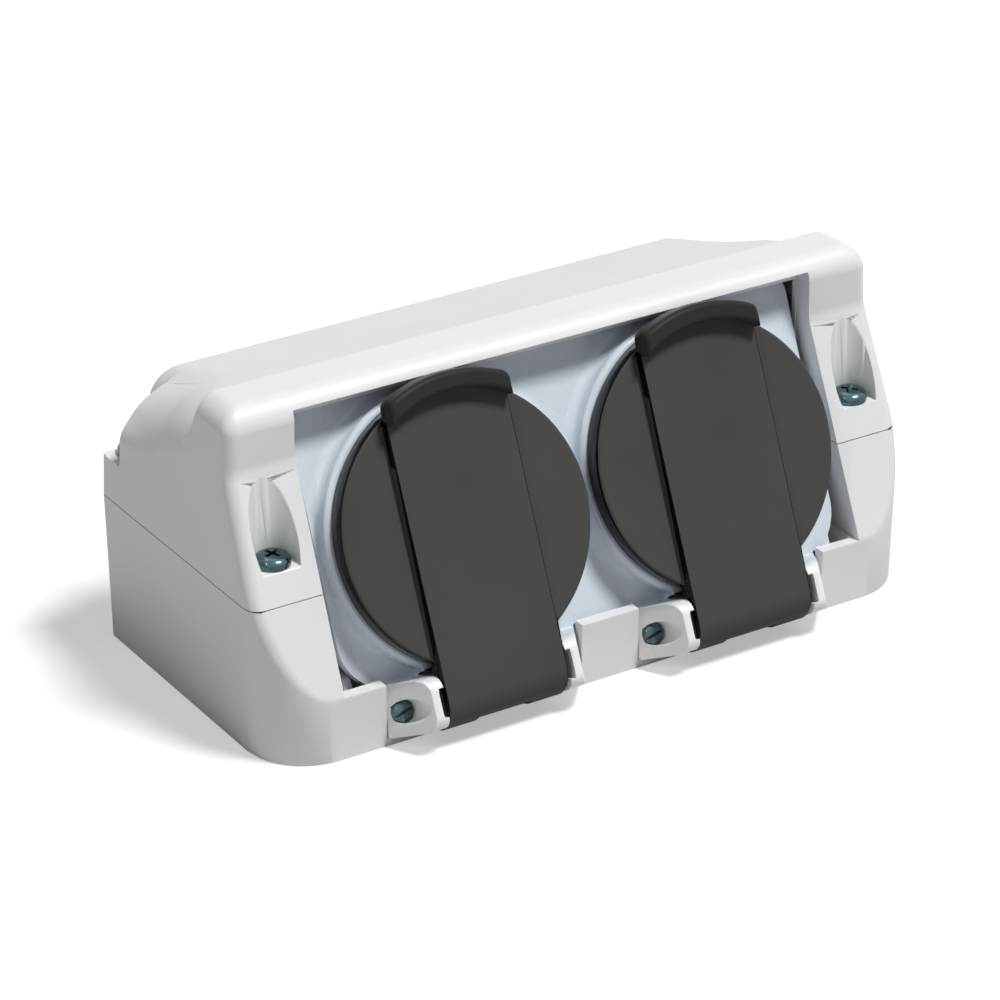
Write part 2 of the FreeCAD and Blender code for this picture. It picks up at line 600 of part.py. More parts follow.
def make_cavity():
    """Hollow of the housing, the plan outline of the room under its roof line."""
    body = new_body("cavity_form")
    inner_x = "(length/2 - wall)"
    boss_x = "(length/2 - notch_width - wall)"
    boss_y = "(half_depth - notch_depth - wall)"
    rear_y = "(half_depth - wall)"
    right = [
        ("open_high", "-(half_depth - wall)"), ("open_high", "-pillar_back"),
        (inner_x, "-pillar_back"), (inner_x, boss_y), (boss_x, boss_y), (boss_x, rear_y)]
    left = [("-" + x, y) for x, y in reversed(right)]
    plan = outline(body, "cavity_plan", "XY_Plane", right + left, ("0", "0", "floor_z"))
    pad(body, plan, "hood_z")
    over = outline(body, "cavity_roof", "YZ_Plane", [
        ("-half_depth - wall", "open_top"), ("-hood_face", "open_top"), ("-hood_face", "hood_z - wall"),
        ("-hood_back - wall", "hood_z - wall"), ("-hood_back", roof_z("-hood_back") + " - wall"),
        ("half_depth", roof_z("half_depth") + " - wall"), ("half_depth", "hood_z * 2"),
        ("-half_depth - wall", "hood_z * 2")])
    pocket(body, over, "length * 2", both=True)
    under_round = "(end_top - shoulder_round)"
    foot_z = "(rear_z - shoulder_round - overlap)"
    for side, sign in SIDES:
        bevel = outline(body, "cavity_bevel_" + side, "XZ_Plane", [
            (sign + under_round, "hood_z"), (sign + under_round, "rear_z + overlap"),
            (sign + "(end_top - wall)", foot_z), (sign + inner_x, "split_z"), (sign + "length",
                "split_z"),
            (sign + "length", "hood_z")])
        pocket(body, bevel, "length * 2", both=True)
    return body


def opening_block(name, rear):
    """Block that cuts the leaning front opening back to a plane."""
    body = new_body(name)
    face = outline(body, name + "_outline", "XZ_Plane", [
        ("-open_half", "front_z"), ("open_half", "front_z"),
        ("open_high", "open_top"), ("-open_high", "open_top")],
        ("0", "0", "-(%s)" % rear))
    pad(body, face, "half_depth + wall + (%s)" % rear)
    soften(body, name + "_corners", "open_round",
           lambda e: near(e.CenterOfMass.z, "open_top") and e.BoundBox.XLength < 0.001)
    return body


def slab(name, low, high):
    """Wide box between two heights."""
    box = doc.addObject("Part::Box", name)
    bind(box, "Length", "length * 2")
    bind(box, "Width", "half_depth * 4")
    bind(box, "Height", "%s - (%s)" % (high, low))
    bind(box, "Placement.Base.x", "-length")
    bind(box, "Placement.Base.y", "-half_depth * 2")
    bind(box, "Placement.Base.z", low)
    return box


def joint_seal_ring(body, name, spread, low, high):
    """Ring along the joint, open to the front between the end pillars."""
    middle = "(wall/2)"
    outer = "(%s - seal_width/2 - %s)" % (middle, spread)
    inner = "(%s + seal_width/2 + %s)" % (middle, spread)
    ring = rectangle(body, name + "_outer", "XY_Plane", "-length/2 + " + outer, "length/2 - " + outer,
                     "-half_depth", "half_depth - " + outer, ("0", "0", low))
    pad(body, ring, "%s - (%s)" % (high, low))
    hole = rectangle(body, name + "_inner", "XY_Plane", "-length/2 + " + inner, "length/2 - " + inner,
                     "-half_depth - overlap", "half_depth - " + inner, ("0", "0", low))
    pocket(body, hole, "%s - (%s)" % (high, low), back=True)
    front = rectangle(body, name + "_front", "XY_Plane", "-length", "length",
                      "-half_depth - overlap", "-pillar_back - seal_stop - " + spread,
                      ("0", "0", low))
    pocket(body, front, "%s - (%s)" % (high, low), back=True)
    return body


def plate_back_y(z):
    """Where the back of the tilted plate is, at a height above the wall face."""
    back = "(plate_front + plate_thick)"
    return "(-hinge_y + (%s - hinge_z + %s * cos(slope)) / tan(slope) + %s * sin(slope))" % (z, back,
        back)


def unit_point(s, n):
    """Housing point of a place in the unit frame, as a pair of formulas."""
    return ("(-hinge_y + (%s) * cos(slope) - (%s) * sin(slope))" % (s, n),
            "(hinge_z + (%s) * sin(slope) + (%s) * cos(slope))" % (s, n))


def make_base(form, cavity):
    """Base box: lower shell with ribs, screw blocks, hinge bays and holes."""
    shell = combine("Cut", "base_shell", form, [cavity])
    raw = combine("Common", "base_raw", shell, [slab("base_slab", "-wall", "split_z - split_gap")])
    extra = new_body("base_extra")
    sunk = "(floor_z - overlap)"
    joint = "(split_z - split_gap)"
    for name, x in (("left", "-rib_x"), ("middle", "0"), ("right", "rib_x")):
        rib = outline(extra, "rib_" + name, "YZ_Plane", [
            (plate_back_y(sunk), sunk), (plate_back_y(joint), joint),
            (plate_back_y(joint) + " + rib_depth", joint),
            (plate_back_y(sunk) + " + rib_depth * 3", sunk)], ("0", "0", x))
        pad(extra, rib, "rib_half * 2", both=True)
    for side, sign in SIDES:
        top = unit_point("ear_high - fit_gap * 4", "-plate_front - plate_thick")
        deep = unit_point("ear_high - fit_gap * 4", "-plate_front - plate_thick - block_reach")
        block = outline(extra, "block_" + side, "YZ_Plane", [
            (plate_back_y(sunk), sunk), top, deep, (deep[0], sunk)],
            ("0", "0", sign + "pitch/2 - fix_x"))
        pad(extra, block, "block_half * 2", both=True)
        for row, y in (("front", "-mount_front"), ("rear", "mount_rear")):
            boss = circle(extra, "boss_%s_%s" % (row, side), "XY_Plane", (sign + "mount_x", y),
                          "mount_boss",
                          ("0", "0", sunk))
            pad(extra, boss, "mount_boss_height + overlap")
    joined = combine("Fuse", "base_joined", raw, [extra])
    tools = new_body("base_tools")
    for side, sign in SIDES:
        centre = sign + "pitch/2"
        bay = rectangle(tools, "bay_" + side, "XY_Plane", centre + " - bay_half", centre + " + bay_half",
                        "-half_depth - wall", "-half_depth + wall + bay_back", ("0", "0", "lip_z"))
        pad(tools, bay, "hood_z")
        for row, x, y in (("front", "screw_x", "-screw_y"), ("rear", "rear_screw_x", "rear_screw_y")):
            hole = circle(tools, "hole_%s_%s" % (row, side), "XY_Plane", (sign + x, y),
                          "shank_radius + screw_clear", ("0", "0", "split_z - shank_depth - overlap"))
            pad(tools, hole, "hood_z")
        for row, y in (("front", "-mount_front"), ("rear", "mount_rear")):
            hole = circle(tools, "mount_%s_%s" % (row, side), "XY_Plane", (sign + "mount_x", y),
                          "mount_radius",
                          ("0", "0", "-wall"))
            pad(tools, hole, "hood_z / 4")
        entry = circle(tools, "entry_" + side, "XZ_Plane", (sign + "entry_x", "entry_z"), "entry_radius",
                       ("0", "0", "-(half_depth - wall * 2)"))
        pad(tools, entry, "wall * 4", back=True)
    groove = joint_seal_ring(new_body("base_groove"), "base_groove", "seal_clear",
                             "split_z - seal_depth", "split_z + overlap")
    shafts = []
    for side, sign in SIDES:
        shaft = doc.addObject("Part::Cylinder", "fix_hole_" + side)
        bind(shaft, "Radius", "fix_shank + screw_clear")
        bind(shaft, "Height", "fix_tip - plate_front")
        shaft.Placement = FreeCAD.Placement(Vector(), FreeCAD.Rotation(Vector(1, 0, 0), size("slope")))
        foot = unit_point("-fix_s", "-fix_tip - screw_end")
        bind(shaft, "Placement.Base.x", sign + "pitch/2 - fix_x")
        bind(shaft, "Placement.Base.y", foot[0])
        bind(shaft, "Placement.Base.z", foot[1])
        shafts.append(shaft)
    opening = opening_block("base_opening", "-pillar_back")
    base = combine("Cut", "base_final", joined, [tools, groove, opening] + shafts)
    base.Refine = True
    finish(base, "base_box")


def make_cover(form, cavity, notches):
    """Front cover: upper shell with its opening, flange and screw pockets."""
    shell = combine("Cut", "cover_shell", form, [cavity])
    raw = combine("Common", "cover_raw", shell, [slab("cover_slab", "split_z + split_gap", "hood_z * 2")])
    extra = new_body("cover_extra")
    flange = rectangle(extra, "flange", "YZ_Plane", "-flange_face", "-flange_face + flange_thick",
                       "open_top - flange_drop", "hood_z - wall/2")
    pad(extra, flange, "(open_high + overlap) * 2", both=True)
    for side, sign in SIDES:
        post = rectangle(extra, "rear_post_" + side, "XY_Plane",
                         sign + "(length/2 - notch_width - wall)", sign + "(end_top - wall/2)",
                         "half_depth - notch_depth - wall", "half_depth - wall/2", ("0", "0",
                             "split_z + split_gap"))
        pad(extra, post, "notch_z - split_z - split_gap")
    joined = combine("Fuse", "cover_joined", raw, [extra])
    tools = new_body("cover_tools")
    for side, sign in SIDES:
        well = circle(tools, "well_front_" + side, "XY_Plane", (sign + "screw_x", "-pocket_y"),
                      "pocket_radius", ("0", "0", "pocket_z"))
        pad(tools, well, "hood_z")
        for row, x, y in (("front", "screw_x", "-screw_y"), ("rear", "rear_screw_x", "rear_screw_y")):
            hole = circle(tools, "hole_%s_%s" % (row, side), "XY_Plane", (sign + x, y),
                          "shank_radius + screw_clear", ("0", "0", "split_z - overlap"))
            pad(tools, hole, "notch_z - split_z + overlap * 2")
    groove = joint_seal_ring(new_body("cover_groove"), "cover_groove", "seal_clear",
                             "split_z - overlap", "split_z + seal_rise + seal_clear")
    opening = opening_block("cover_opening", "-flange_face")
    cover = combine("Cut", "cover_final", joined, [tools, notches, groove, opening])
    cover.Refine = True
    finish(cover, "front_cover")


def make_joint_seal():
    """Foam seal in the joint between base and cover."""
    body = new_body("joint_seal")
    joint_seal_ring(body, "seal_ring", "0", "split_z - seal_depth", "split_z + seal_rise")
    finish(body, "joint_seal")


def cross_recess(body, top):
    """Cross shaped drive recess in a screw head."""
    for name, long, short in (("across", "drive_arm", "drive_width/2"),
                              ("along", "drive_width/2", "drive_arm")):
        arm = rectangle(body, name, "XY_Plane", "-" + long, long, "-" + short, short, ("0", "0", top))
        pocket(body, arm, "drive_depth")


def make_cover_screws():
    """Four screws that hold the cover on the base."""
    places = [("front", "screw_x", "-screw_y", "pocket_z"),
              ("rear", "rear_screw_x", "rear_screw_y", "notch_z")]
    for row, x, y, seat in places:
        for side, sign in SIDES:
            body = new_body("cover_screw_%s_%s" % (row, side))
            profile = outline(body, "screw_profile", "XZ_Plane", [
                ("0", "split_z - shank_depth"), ("shank_radius * screw_point", "split_z - shank_depth"),
                ("shank_radius", "split_z - shank_depth + shank_radius"), ("shank_radius", seat),
                ("head_radius", seat), ("head_radius", seat + " + head_height * head_side"),
                ("head_radius * head_top", seat + " + head_height"), ("0", seat + " + head_height")])
            turn(body, profile, "V_Axis")
            cross_recess(body, seat + " + head_height")
            finish(body, "cover_screw_%s_%s" % (row, side))
            bind(body, "Placement.Base.x", sign + x)
            bind(body, "Placement.Base.y", y)


# Socket unit, drawn in the unit frame

def make_plate():
    """Socket plate with two collars, the troughs behind the barrels and four hinge ears."""
    body = new_body("socket_plate")
    sheet_outline = rectangle(body, "plate_outline", "XY_Plane", "-plate_half", "plate_half",
                              "plate_low", "plate_high", ("0", "0", "-plate_front - plate_thick"))
    pad(body, sheet_outline, "plate_thick")
    corner = lambda e: e.BoundBox.ZLength > 1 and e.BoundBox.XLength < 0.001
    soften(body, "plate_low_corners", "plate_corner",
           lambda e: corner(e) and near(e.CenterOfMass.y, "plate_low"))
    soften(body, "plate_high_corners", "plate_top_corner",
           lambda e: corner(e) and near(e.CenterOfMass.y, "plate_high"))
    for side, sign in SIDES:
        middle = sign + "pitch/2"
        collar = circle(body, "collar_" + side, "XY_Plane", (middle, "disc_s"), "collar_outer",
                        ("0", "0", "-plate_front - overlap"))
        pad(body, collar, "plate_front + overlap")
        inner = "band_half + ear_gap"
        for ear, low in (("ear_a", "-ear_end"), ("ear_b", inner)):
            block = outline(body, "%s_%s" % (ear, side), "YZ_Plane", [
                ("-ear_high", "-plate_front - plate_thick"), ("ear_high", "-plate_front - plate_thick"),
                ("ear_high", "band_face"), ("-ear_high", "band_face")],
                ("0", "0", "%s + (%s)" % (middle, low)))
            pad(body, block, "ear_end - (%s)" % inner)
    soften(body, "ear_rounds", "ear_round",
           lambda e: near(e.CenterOfMass.z, "band_face") and e.BoundBox.YLength < 0.001)
    soften(body, "collar_bevels", "collar_edge", kind="Chamfer",
           test=lambda e: near(e.CenterOfMass.z, "0") and e.Curve.TypeId == "Part::GeomCircle")
    for side, sign in SIDES:
        middle = sign + "pitch/2"
        inner = "band_half + ear_gap"
        trough = rectangle(body, "trough_" + side, "XY_Plane", "-(%s) - bay_back" % inner,
                           inner + " + bay_back",
                           "barrel_radius", "barrel_radius + trough_clear + trough_wall",
                           (middle, "0", "0"))
        turn(body, trough, "H_Axis", angle="trough_angle", back=True)
        below = "(ear_foot - hinge_z)"
        foot = outline(body, "foot_" + side, "YZ_Plane", [
            ("(%s + foot_low * cos(slope)) / sin(slope)" % below, "-foot_low"),
            ("(%s - foot_high * cos(slope)) / sin(slope)" % below, "foot_high"),
            ("-disc_radius", "foot_high"), ("-disc_radius", "-foot_low")],
            ("0", "0", middle))
        pocket(body, foot, "(ear_end + overlap) * 2", both=True)
        room = circle(body, "room_" + side, "YZ_Plane", ("0", "0"), "barrel_radius + trough_clear",
                      ("0", "0", middle))
        pocket(body, room, "(%s) * 2" % inner, both=True)
        for name, flip in (("a", "-"), ("b", "")):
            fall = "(band_face + ramp_low) / (ear_end - ramp_end) * overlap"
            far, near_x = (middle + " + " + flip + x for x in ("(ear_end + overlap)",
                                                               "(ramp_end - overlap)"))
            ramp = outline(body, "ramp_%s_%s" % (name, side), "XZ_Plane", [
                (far, "-ramp_low - " + fall), (near_x, "band_face + " + fall), (far,
                    "band_face + " + fall)])
            pocket(body, ramp, "ear_high * 2 + overlap", both=True)
            slot_x = "%s + %s(%s + (hub_length + fit_gap)/2)" % (middle, flip, inner)
            slot = rectangle(body, "slot_%s_%s" % (name, side), "YZ_Plane", "-ear_slot", "ear_slot",
                             "-ear_slot", "band_face + overlap", ("0", "0", slot_x))
            pocket(body, slot, "hub_length + fit_gap", both=True)
        bore = circle(body, "bore_" + side, "YZ_Plane", ("0", "0"), "pin_radius + pin_clear",
                      ("0", "0", "%s + (pin_right - pin_left)/2" % middle))
        pocket(body, bore, "pin_left + pin_right + pin_clear * 2", both=True)
        screw_x = "%s - fix_x" % middle
        seat = circle(body, "seat_" + side, "XY_Plane", (screw_x, "-fix_s"), "fix_pocket",
                      ("0", "0", "band_face + overlap"))
        pocket(body, seat, "band_face + overlap + fix_seat")
        shank = circle(body, "shank_" + side, "XY_Plane", (screw_x, "-fix_s"), "fix_shank + screw_clear",
                       ("0", "0", "band_face + overlap"))
        pocket(body, shank, "band_face + plate_front + plate_thick + overlap * 2")
        seat_ring = circle(body, "insert_seat_" + side, "XY_Plane", (middle, "disc_s"), "collar_inner",
                           ("0", "0", "overlap"))
        pocket(body, seat_ring, "insert_seat + overlap")
        through = circle(body, "insert_hole_" + side, "XY_Plane", (middle, "disc_s"),
                         "insert_radius + insert_clear", ("0", "0", "overlap"))
        pocket(body, through, "plate_front + plate_thick + overlap * 2")
    finish(body, "socket_plate", "0")


def make_lid(side, unit_x):
    """Lid: round cap with a raised band from the hinge barrel to the finger lip."""
    body = new_body("lid_" + side)
    under = "(disc_face - lid_wall)"
    keeper = "(seal_inner - keeper_gap)"
    cap = outline(body, "cap_profile", "XZ_Plane", [
        ("0", under), (keeper + " - keeper_wall", under), (keeper + " - keeper_wall",
                                                           under + " - keeper_drop"),
        (keeper, under + " - keeper_drop"), (keeper, under), ("disc_radius - rim_wall", under),
        ("disc_radius - rim_wall", "rim_back"), ("disc_radius", "rim_back"),
        ("disc_radius", "disc_face"), ("0", "disc_face")], ("0", "0", "-disc_s"))
    turn(body, cap, "V_Axis")
    soften(body, "cap_edge", "disc_edge",
           lambda e: near(e.CenterOfMass.z, "disc_face") and e.Curve.TypeId == "Part::GeomCircle")
    barrel = circle(body, "barrel", "YZ_Plane", ("0", "0"), "barrel_radius")
    pad(body, barrel, "band_half * 2", both=True)
    arc_band(body, "band", "0", "disc_radius", "0", under, "band_face")
    arc_band(body, "finger_lip", "disc_s", "lip_outer", "lip_inner", "lip_under", "lip_face")
    soften(body, "lip_corners", "lip_corner",
           lambda e: near(abs(e.CenterOfMass.x), "band_half") and near(e.BoundBox.ZMax, "lip_face")
           and e.BoundBox.ZLength > size("lip_edge * 2") and e.CenterOfMass.y > size("lip_far"))
    soften(body, "lip_edges", "lip_edge", lambda e: near(e.BoundBox.ZMin, "lip_face"))
    hub = circle(body, "hub", "YZ_Plane", ("0", "0"), "hub_radius")
    pad(body, hub, "(band_half + hub_length) * 2", both=True)
    recess = rectangle(body, "spring_recess_box", "YZ_Plane", "-barrel_radius - overlap", "spring_recess",
                       "-barrel_radius - overlap", "spring_skin")
    pocket(body, recess, "spring_half * 2", both=True)
    bore = circle(body, "pin_bore", "YZ_Plane", ("0", "0"), "pin_radius + pin_clear")
    pocket(body, bore, "ear_end * 2", both=True)
    finish(body, "lid_" + side, unit_x)


def arc_band(body, name, low, outer, inner, bottom, top):
    """Band with straight sides and an arched end about the lid centre."""
    sketch = body.newObject("Sketcher::SketchObject", name)
    attach(body, sketch, "XY_Plane", ("0", "disc_s", bottom))
    half = size("band_half")
    far = size(outer)
    side = (far ** 2 - half ** 2) ** 0.5
    middle = Vector(0, 0, 0)
    top_arc = Part.Arc(Vector(half, side, 0), Vector(0, far, 0), Vector(-half, side, 0))
    sketch.addGeometry(top_arc, False)
    if inner == "0":
        foot = size("%s - disc_s" % low)
        points = [Vector(-half, side, 0), Vector(-half, foot, 0), Vector(half, foot, 0),
                  Vector(half, side, 0)]
        for first, second in zip(points, points[1:]):
            sketch.addGeometry(Part.LineSegment(first, second), False)
        last = 3
    else:
        near_r = size(inner)
        low_side = (near_r ** 2 - half ** 2) ** 0.5
        sketch.addGeometry(Part.LineSegment(Vector(-half, side, 0), Vector(-half, low_side, 0)), False)
        sketch.addGeometry(Part.Arc(Vector(half, low_side, 0), Vector(0, near_r, 0),
                                    Vector(-half, low_side, 0)), False)
        sketch.addGeometry(Part.LineSegment(Vector(half, low_side, 0), Vector(half, side, 0)), False)
        last = 3
    sketch.addConstraint(Sketcher.Constraint("Coincident", 0, 3, -1, 1))
    sketch.addConstraint(Sketcher.Constraint("Coincident", 0, 2, 1, 1))
    sketch.addConstraint(Sketcher.Constraint("Coincident", last, 2, 0, 1))
    rule(sketch, "outer", outer, "Radius", 0)
    if inner == "0":
        sketch.addConstraint(Sketcher.Constraint("Coincident", 1, 2, 2, 1))
        sketch.addConstraint(Sketcher.Constraint("Coincident", 2, 2, 3, 1))
        pin_point(sketch, 2, 1, ("-band_half", "%s - disc_s" % low), "a")
        pin_point(sketch, 2, 2, ("band_half", "%s - disc_s" % low), "b")
    else:
        sketch.addConstraint(Sketcher.Constraint("Coincident", 2, 3, -1, 1))
        sketch.addConstraint(Sketcher.Constraint("Coincident", 1, 2, 2, 2))
        sketch.addConstraint(Sketcher.Constraint("Coincident", 2, 1, 3, 1))
        rule(sketch, "inner", inner, "Radius", 2)
        rule(sketch, "left", "-band_half", "DistanceX", -1, 1, 1, 1)
        rule(sketch, "right", "band_half", "DistanceX", -1, 1, 3, 1)
    sketch.addConstraint(Sketcher.Constraint("Vertical", 1))
    sketch.addConstraint(Sketcher.Constraint("Vertical", 3))
    pad(body, sketch, "%s - (%s)" % (top, bottom))


def make_lid_seal(side, unit_x):
    """Soft ring in the lid that closes on the collar."""
    body = new_body("lid_seal_" + side)
    under = "(disc_face - lid_wall)"
    profile = outline(body, "seal_profile", "XZ_Plane", [
        ("seal_inner", under), ("seal_inner", "rim_back + seal_bevel"), ("seal_inner + seal_bevel",
            "rim_back"),
        ("seal_outer - seal_bevel", "rim_back"), ("seal_outer", "rim_back + seal_bevel"), ("seal_outer",
            under)],
        ("0", "0", "-disc_s"))
    turn(body, profile, "V_Axis")
    finish(body, "lid_seal_" + side, unit_x)


def make_hinge_pin(side, unit_x):
    """Steel pin through both ears and the lid barrel."""
    body = new_body("hinge_pin_" + side)
    rod = circle(body, "rod", "YZ_Plane", ("0", "0"), "pin_radius", ("0", "0", "-pin_left"))
    pad(body, rod, "pin_left + pin_right")
    finish(body, "hinge_pin_" + side, unit_x)


def wire_section(body, name, x):
    """Six sided section of the spring wire, at a place along the pin."""
    edge, high = "wire_radius * cos(60)", "wire_radius * sin(60)"
    corners = [("-wire_radius", "0"), ("-" + edge, "-" + high), (edge, "-" + high),
               ("wire_radius", "0"), (edge, high), ("-" + edge, high)]
    return outline(body, name, "XY_Plane", [(x + " + " + u, "coil_radius + " + v) for u, v in corners])


def make_spring(side, unit_x):
    """Torsion spring on the pin, with one leg on the trough and one under the lid."""
    body = new_body("lid_spring_" + side)
    half = "(coil_pitch * coil_turns / 2)"
    wire = wire_section(body, "coil_wire", "-" + half)
    coil = body.newObject("PartDesign::AdditiveHelix", "coil")
    coil.Profile = wire
    coil.ReferenceAxis = (next(f for f in body.Origin.OriginFeatures if f.Role == "X_Axis"), [""])
    coil.Mode = 1
    bind(coil, "Pitch", "coil_pitch")
    bind(coil, "Turns", "coil_turns")
    body.Tip = coil
    rest = wire_section(body, "rest_leg", "-" + half)
    pad(body, rest, "barrel_radius - wire_radius * 2", back=True)
    push = wire_section(body, "push_leg", half)
    pad(body, push, "spring_skin - wire_radius")
    finish(body, "lid_spring_" + side, unit_x)


def make_fixing_screw(side, unit_x):
    """Screw through the left hinge ear into the block of the base."""
    body = new_body("fixing_screw_" + side)
    profile = outline(body, "screw_profile", "XZ_Plane", [
        ("0", "-fix_tip"), ("fix_shank * screw_point", "-fix_tip"), ("fix_shank", "-fix_tip + fix_shank"),
        ("fix_shank", "-fix_seat"), ("fix_head", "-fix_seat"),
        ("fix_head", "-fix_seat + fix_head_height * head_side"),
        ("fix_head * head_top", "-fix_seat + fix_head_height"), ("0", "-fix_seat + fix_head_height")],
        ("-fix_x", "0", "fix_s"))
    turn(body, profile, "V_Axis")
    slot = rectangle(body, "slot", "XY_Plane", "-fix_x - fix_head", "-fix_x + fix_head",
                     "-fix_s - drive_width/2", "-fix_s + drive_width/2", ("0", "0",
                         "-fix_seat + fix_head_height"))
    pocket(body, slot, "drive_depth")
    finish(body, "fixing_screw_" + side, unit_x)


def make_insert(side, unit_x):
    """Socket insert: flanged well with plug keys, contact holes and earth slots."""
    body = new_body("socket_insert_" + side)
    bottom = "(-insert_face - well_depth - well_floor)"
    profile = outline(body, "insert_profile", "XZ_Plane", [
        ("0", bottom), ("insert_radius", bottom), ("insert_radius", "-insert_seat"),
        ("insert_flange", "-insert_seat"), ("insert_flange", "-insert_face"), ("well_radius",
            "-insert_face"),
        ("well_radius", "-insert_face - well_depth"), ("0", "-insert_face - well_depth")],
        ("0", "0", "-disc_s"))
    turn(body, profile, "V_Axis")
    soften(body, "well_edge", "well_edge", kind="Chamfer",
           test=lambda e: near(e.CenterOfMass.z,
                               "-insert_face") and e.BoundBox.XLength < size("insert_radius * 2"))
    for name, sign in SIDES:
        key = rectangle(body, "key_" + name, "XY_Plane", sign + "(well_radius - key_reach)",
                        sign + "(well_radius + well_wall/4)", "disc_s - key_half", "disc_s + key_half",
                        ("0", "0", "-insert_face - well_depth - well_floor/4"))
        pad(body, key, "well_depth - overlap")
        hole = circle(body, "pin_hole_" + name, "XY_Plane", (sign + "pin_half", "disc_s"), "pin_hole",
                      ("0", "0", "-insert_face"))
        pocket(body, hole, "well_depth + well_floor + overlap")
    slots = rectangle(body, "earth_slots", "XY_Plane", "-earth_slot", "earth_slot",
                      "disc_s - insert_radius - overlap", "disc_s + insert_radius + overlap", ("0", "0",
                          bottom))
    pocket(body, slots, "well_floor", back=True)
    for name, sign in (("low", "-"), ("high", "+")):
        slot = rectangle(body, "earth_slot_" + name, "XY_Plane", "-earth_slot", "earth_slot",
                         "disc_s %s (well_radius - overlap)" % sign, "disc_s %s (insert_radius + overlap)" % sign,
                         ("0", "0", bottom))
        pocket(body, slot, "-earth_slot_top - " + bottom, back=True)
    web = rectangle(body, "earth_web", "XY_Plane", "-earth_slot - well_wall/4",
                    "earth_slot + well_wall/4",
                    "disc_s - well_radius + overlap", "disc_s + well_radius - overlap",
                    ("0", "0", bottom + " + strap_thick + contact_clear"))
    pad(body, web, "well_floor - strap_thick - contact_clear")
    finish(body, "socket_insert_" + side, unit_x)


def make_carrier(side, unit_x):
    """Contact carrier behind the well, with a room for each contact."""
    body = new_body("contact_carrier_" + side)
    face = "(-insert_face - well_depth - well_floor)"
    disc = circle(body, "carrier_disc", "XY_Plane", ("0", "disc_s"), "carrier_radius", ("0", "0", face))
    pad(body, disc, "carrier_depth", back=True)
    for name, sign in SIDES:
        room = circle(body, "sleeve_room_" + name, "XY_Plane", (sign + "pin_half", "disc_s"),
                      "sleeve_bore + sleeve_wall + contact_clear", ("0", "0", face))
        pocket(body, room, "sleeve_length + contact_clear")
        block = rectangle(body, "block_room_" + name, "XY_Plane",
                          sign + "pin_half - block_side - contact_clear",
                          sign + "pin_half + block_side + contact_clear",
                          "disc_s - block_side - contact_clear", "disc_s + block_side + contact_clear",
                          ("0", "0", face + " - sleeve_length"))
        pocket(body, block, "carrier_depth")
    earth = rectangle(body, "earth_room", "XY_Plane", "-earth_side - contact_clear",
                      "earth_side + contact_clear",
                      "disc_s - earth_side - contact_clear", "disc_s + earth_side + contact_clear",
                      ("0", "0", face))
    pocket(body, earth, "carrier_depth + overlap")
    finish(body, "contact_carrier_" + side, unit_x)


def terminal_end():
    """Rear end of the live and neutral terminals."""
    return "(-insert_face - well_depth - well_floor - sleeve_length - block_length)"


def make_contact(kind, side, unit_x):
    """Live or neutral contact: split sleeve with its terminal block."""
    body = new_body("%s_contact_%s" % (kind, side))
    face = "(-insert_face - well_depth - well_floor)"
    x = "-pin_half" if kind == "live" else "pin_half"
    sleeve = circle(body, "sleeve", "XY_Plane", (x, "disc_s"), "sleeve_bore + sleeve_wall",
                    ("0", "0", face))
    pad(body, sleeve, "sleeve_length + overlap/2", back=True)
    bore = circle(body, "sleeve_hole", "XY_Plane", (x, "disc_s"), "sleeve_bore", ("0", "0", face))
    pocket(body, bore, "sleeve_length - overlap")
    slit = rectangle(body, "slit", "XY_Plane", x + " - slit_half", x + " + slit_half",
                     "disc_s - sleeve_bore * 2",
                     "disc_s + sleeve_bore * 2", ("0", "0", face))
    pocket(body, slit, "sleeve_length - overlap * 2")
    block = rectangle(body, "block", "XY_Plane", x + " - block_side", x + " + block_side",
                      "disc_s - block_side", "disc_s + block_side", ("0", "0", face + " - sleeve_length"))
    pad(body, block, "block_length", back=True)
    terminal_holes(body, x, terminal_end(), "block_side", "-" if kind == "live" else "+")
    finish(body, "%s_contact_%s" % (kind, side), unit_x)


def terminal_holes(body, x, end, side, way):
    """Screw hole from the rear and a square hole for the link bar from one side."""
    screw = circle(body, "screw_hole", "XY_Plane", (x, "disc_s"), "terminal_shank + screw_clear",
                   ("0", "0", end))
    pocket(body, screw, "terminal_reach + fit_gap", back=True)
    grip = "(bar_side + bar_clear)"
    bar = rectangle(body, "bar_hole", "XZ_Plane", x + " - " + grip, x + " + " + grip,
                    end + " + terminal_reach + bar_level",
                    end + " + terminal_reach + bar_level + bar_side * 2 + bar_clear * 2",
                    ("0", "0", "-disc_s"))
    pocket(body, bar, side + " + overlap", back=(way == "-"))


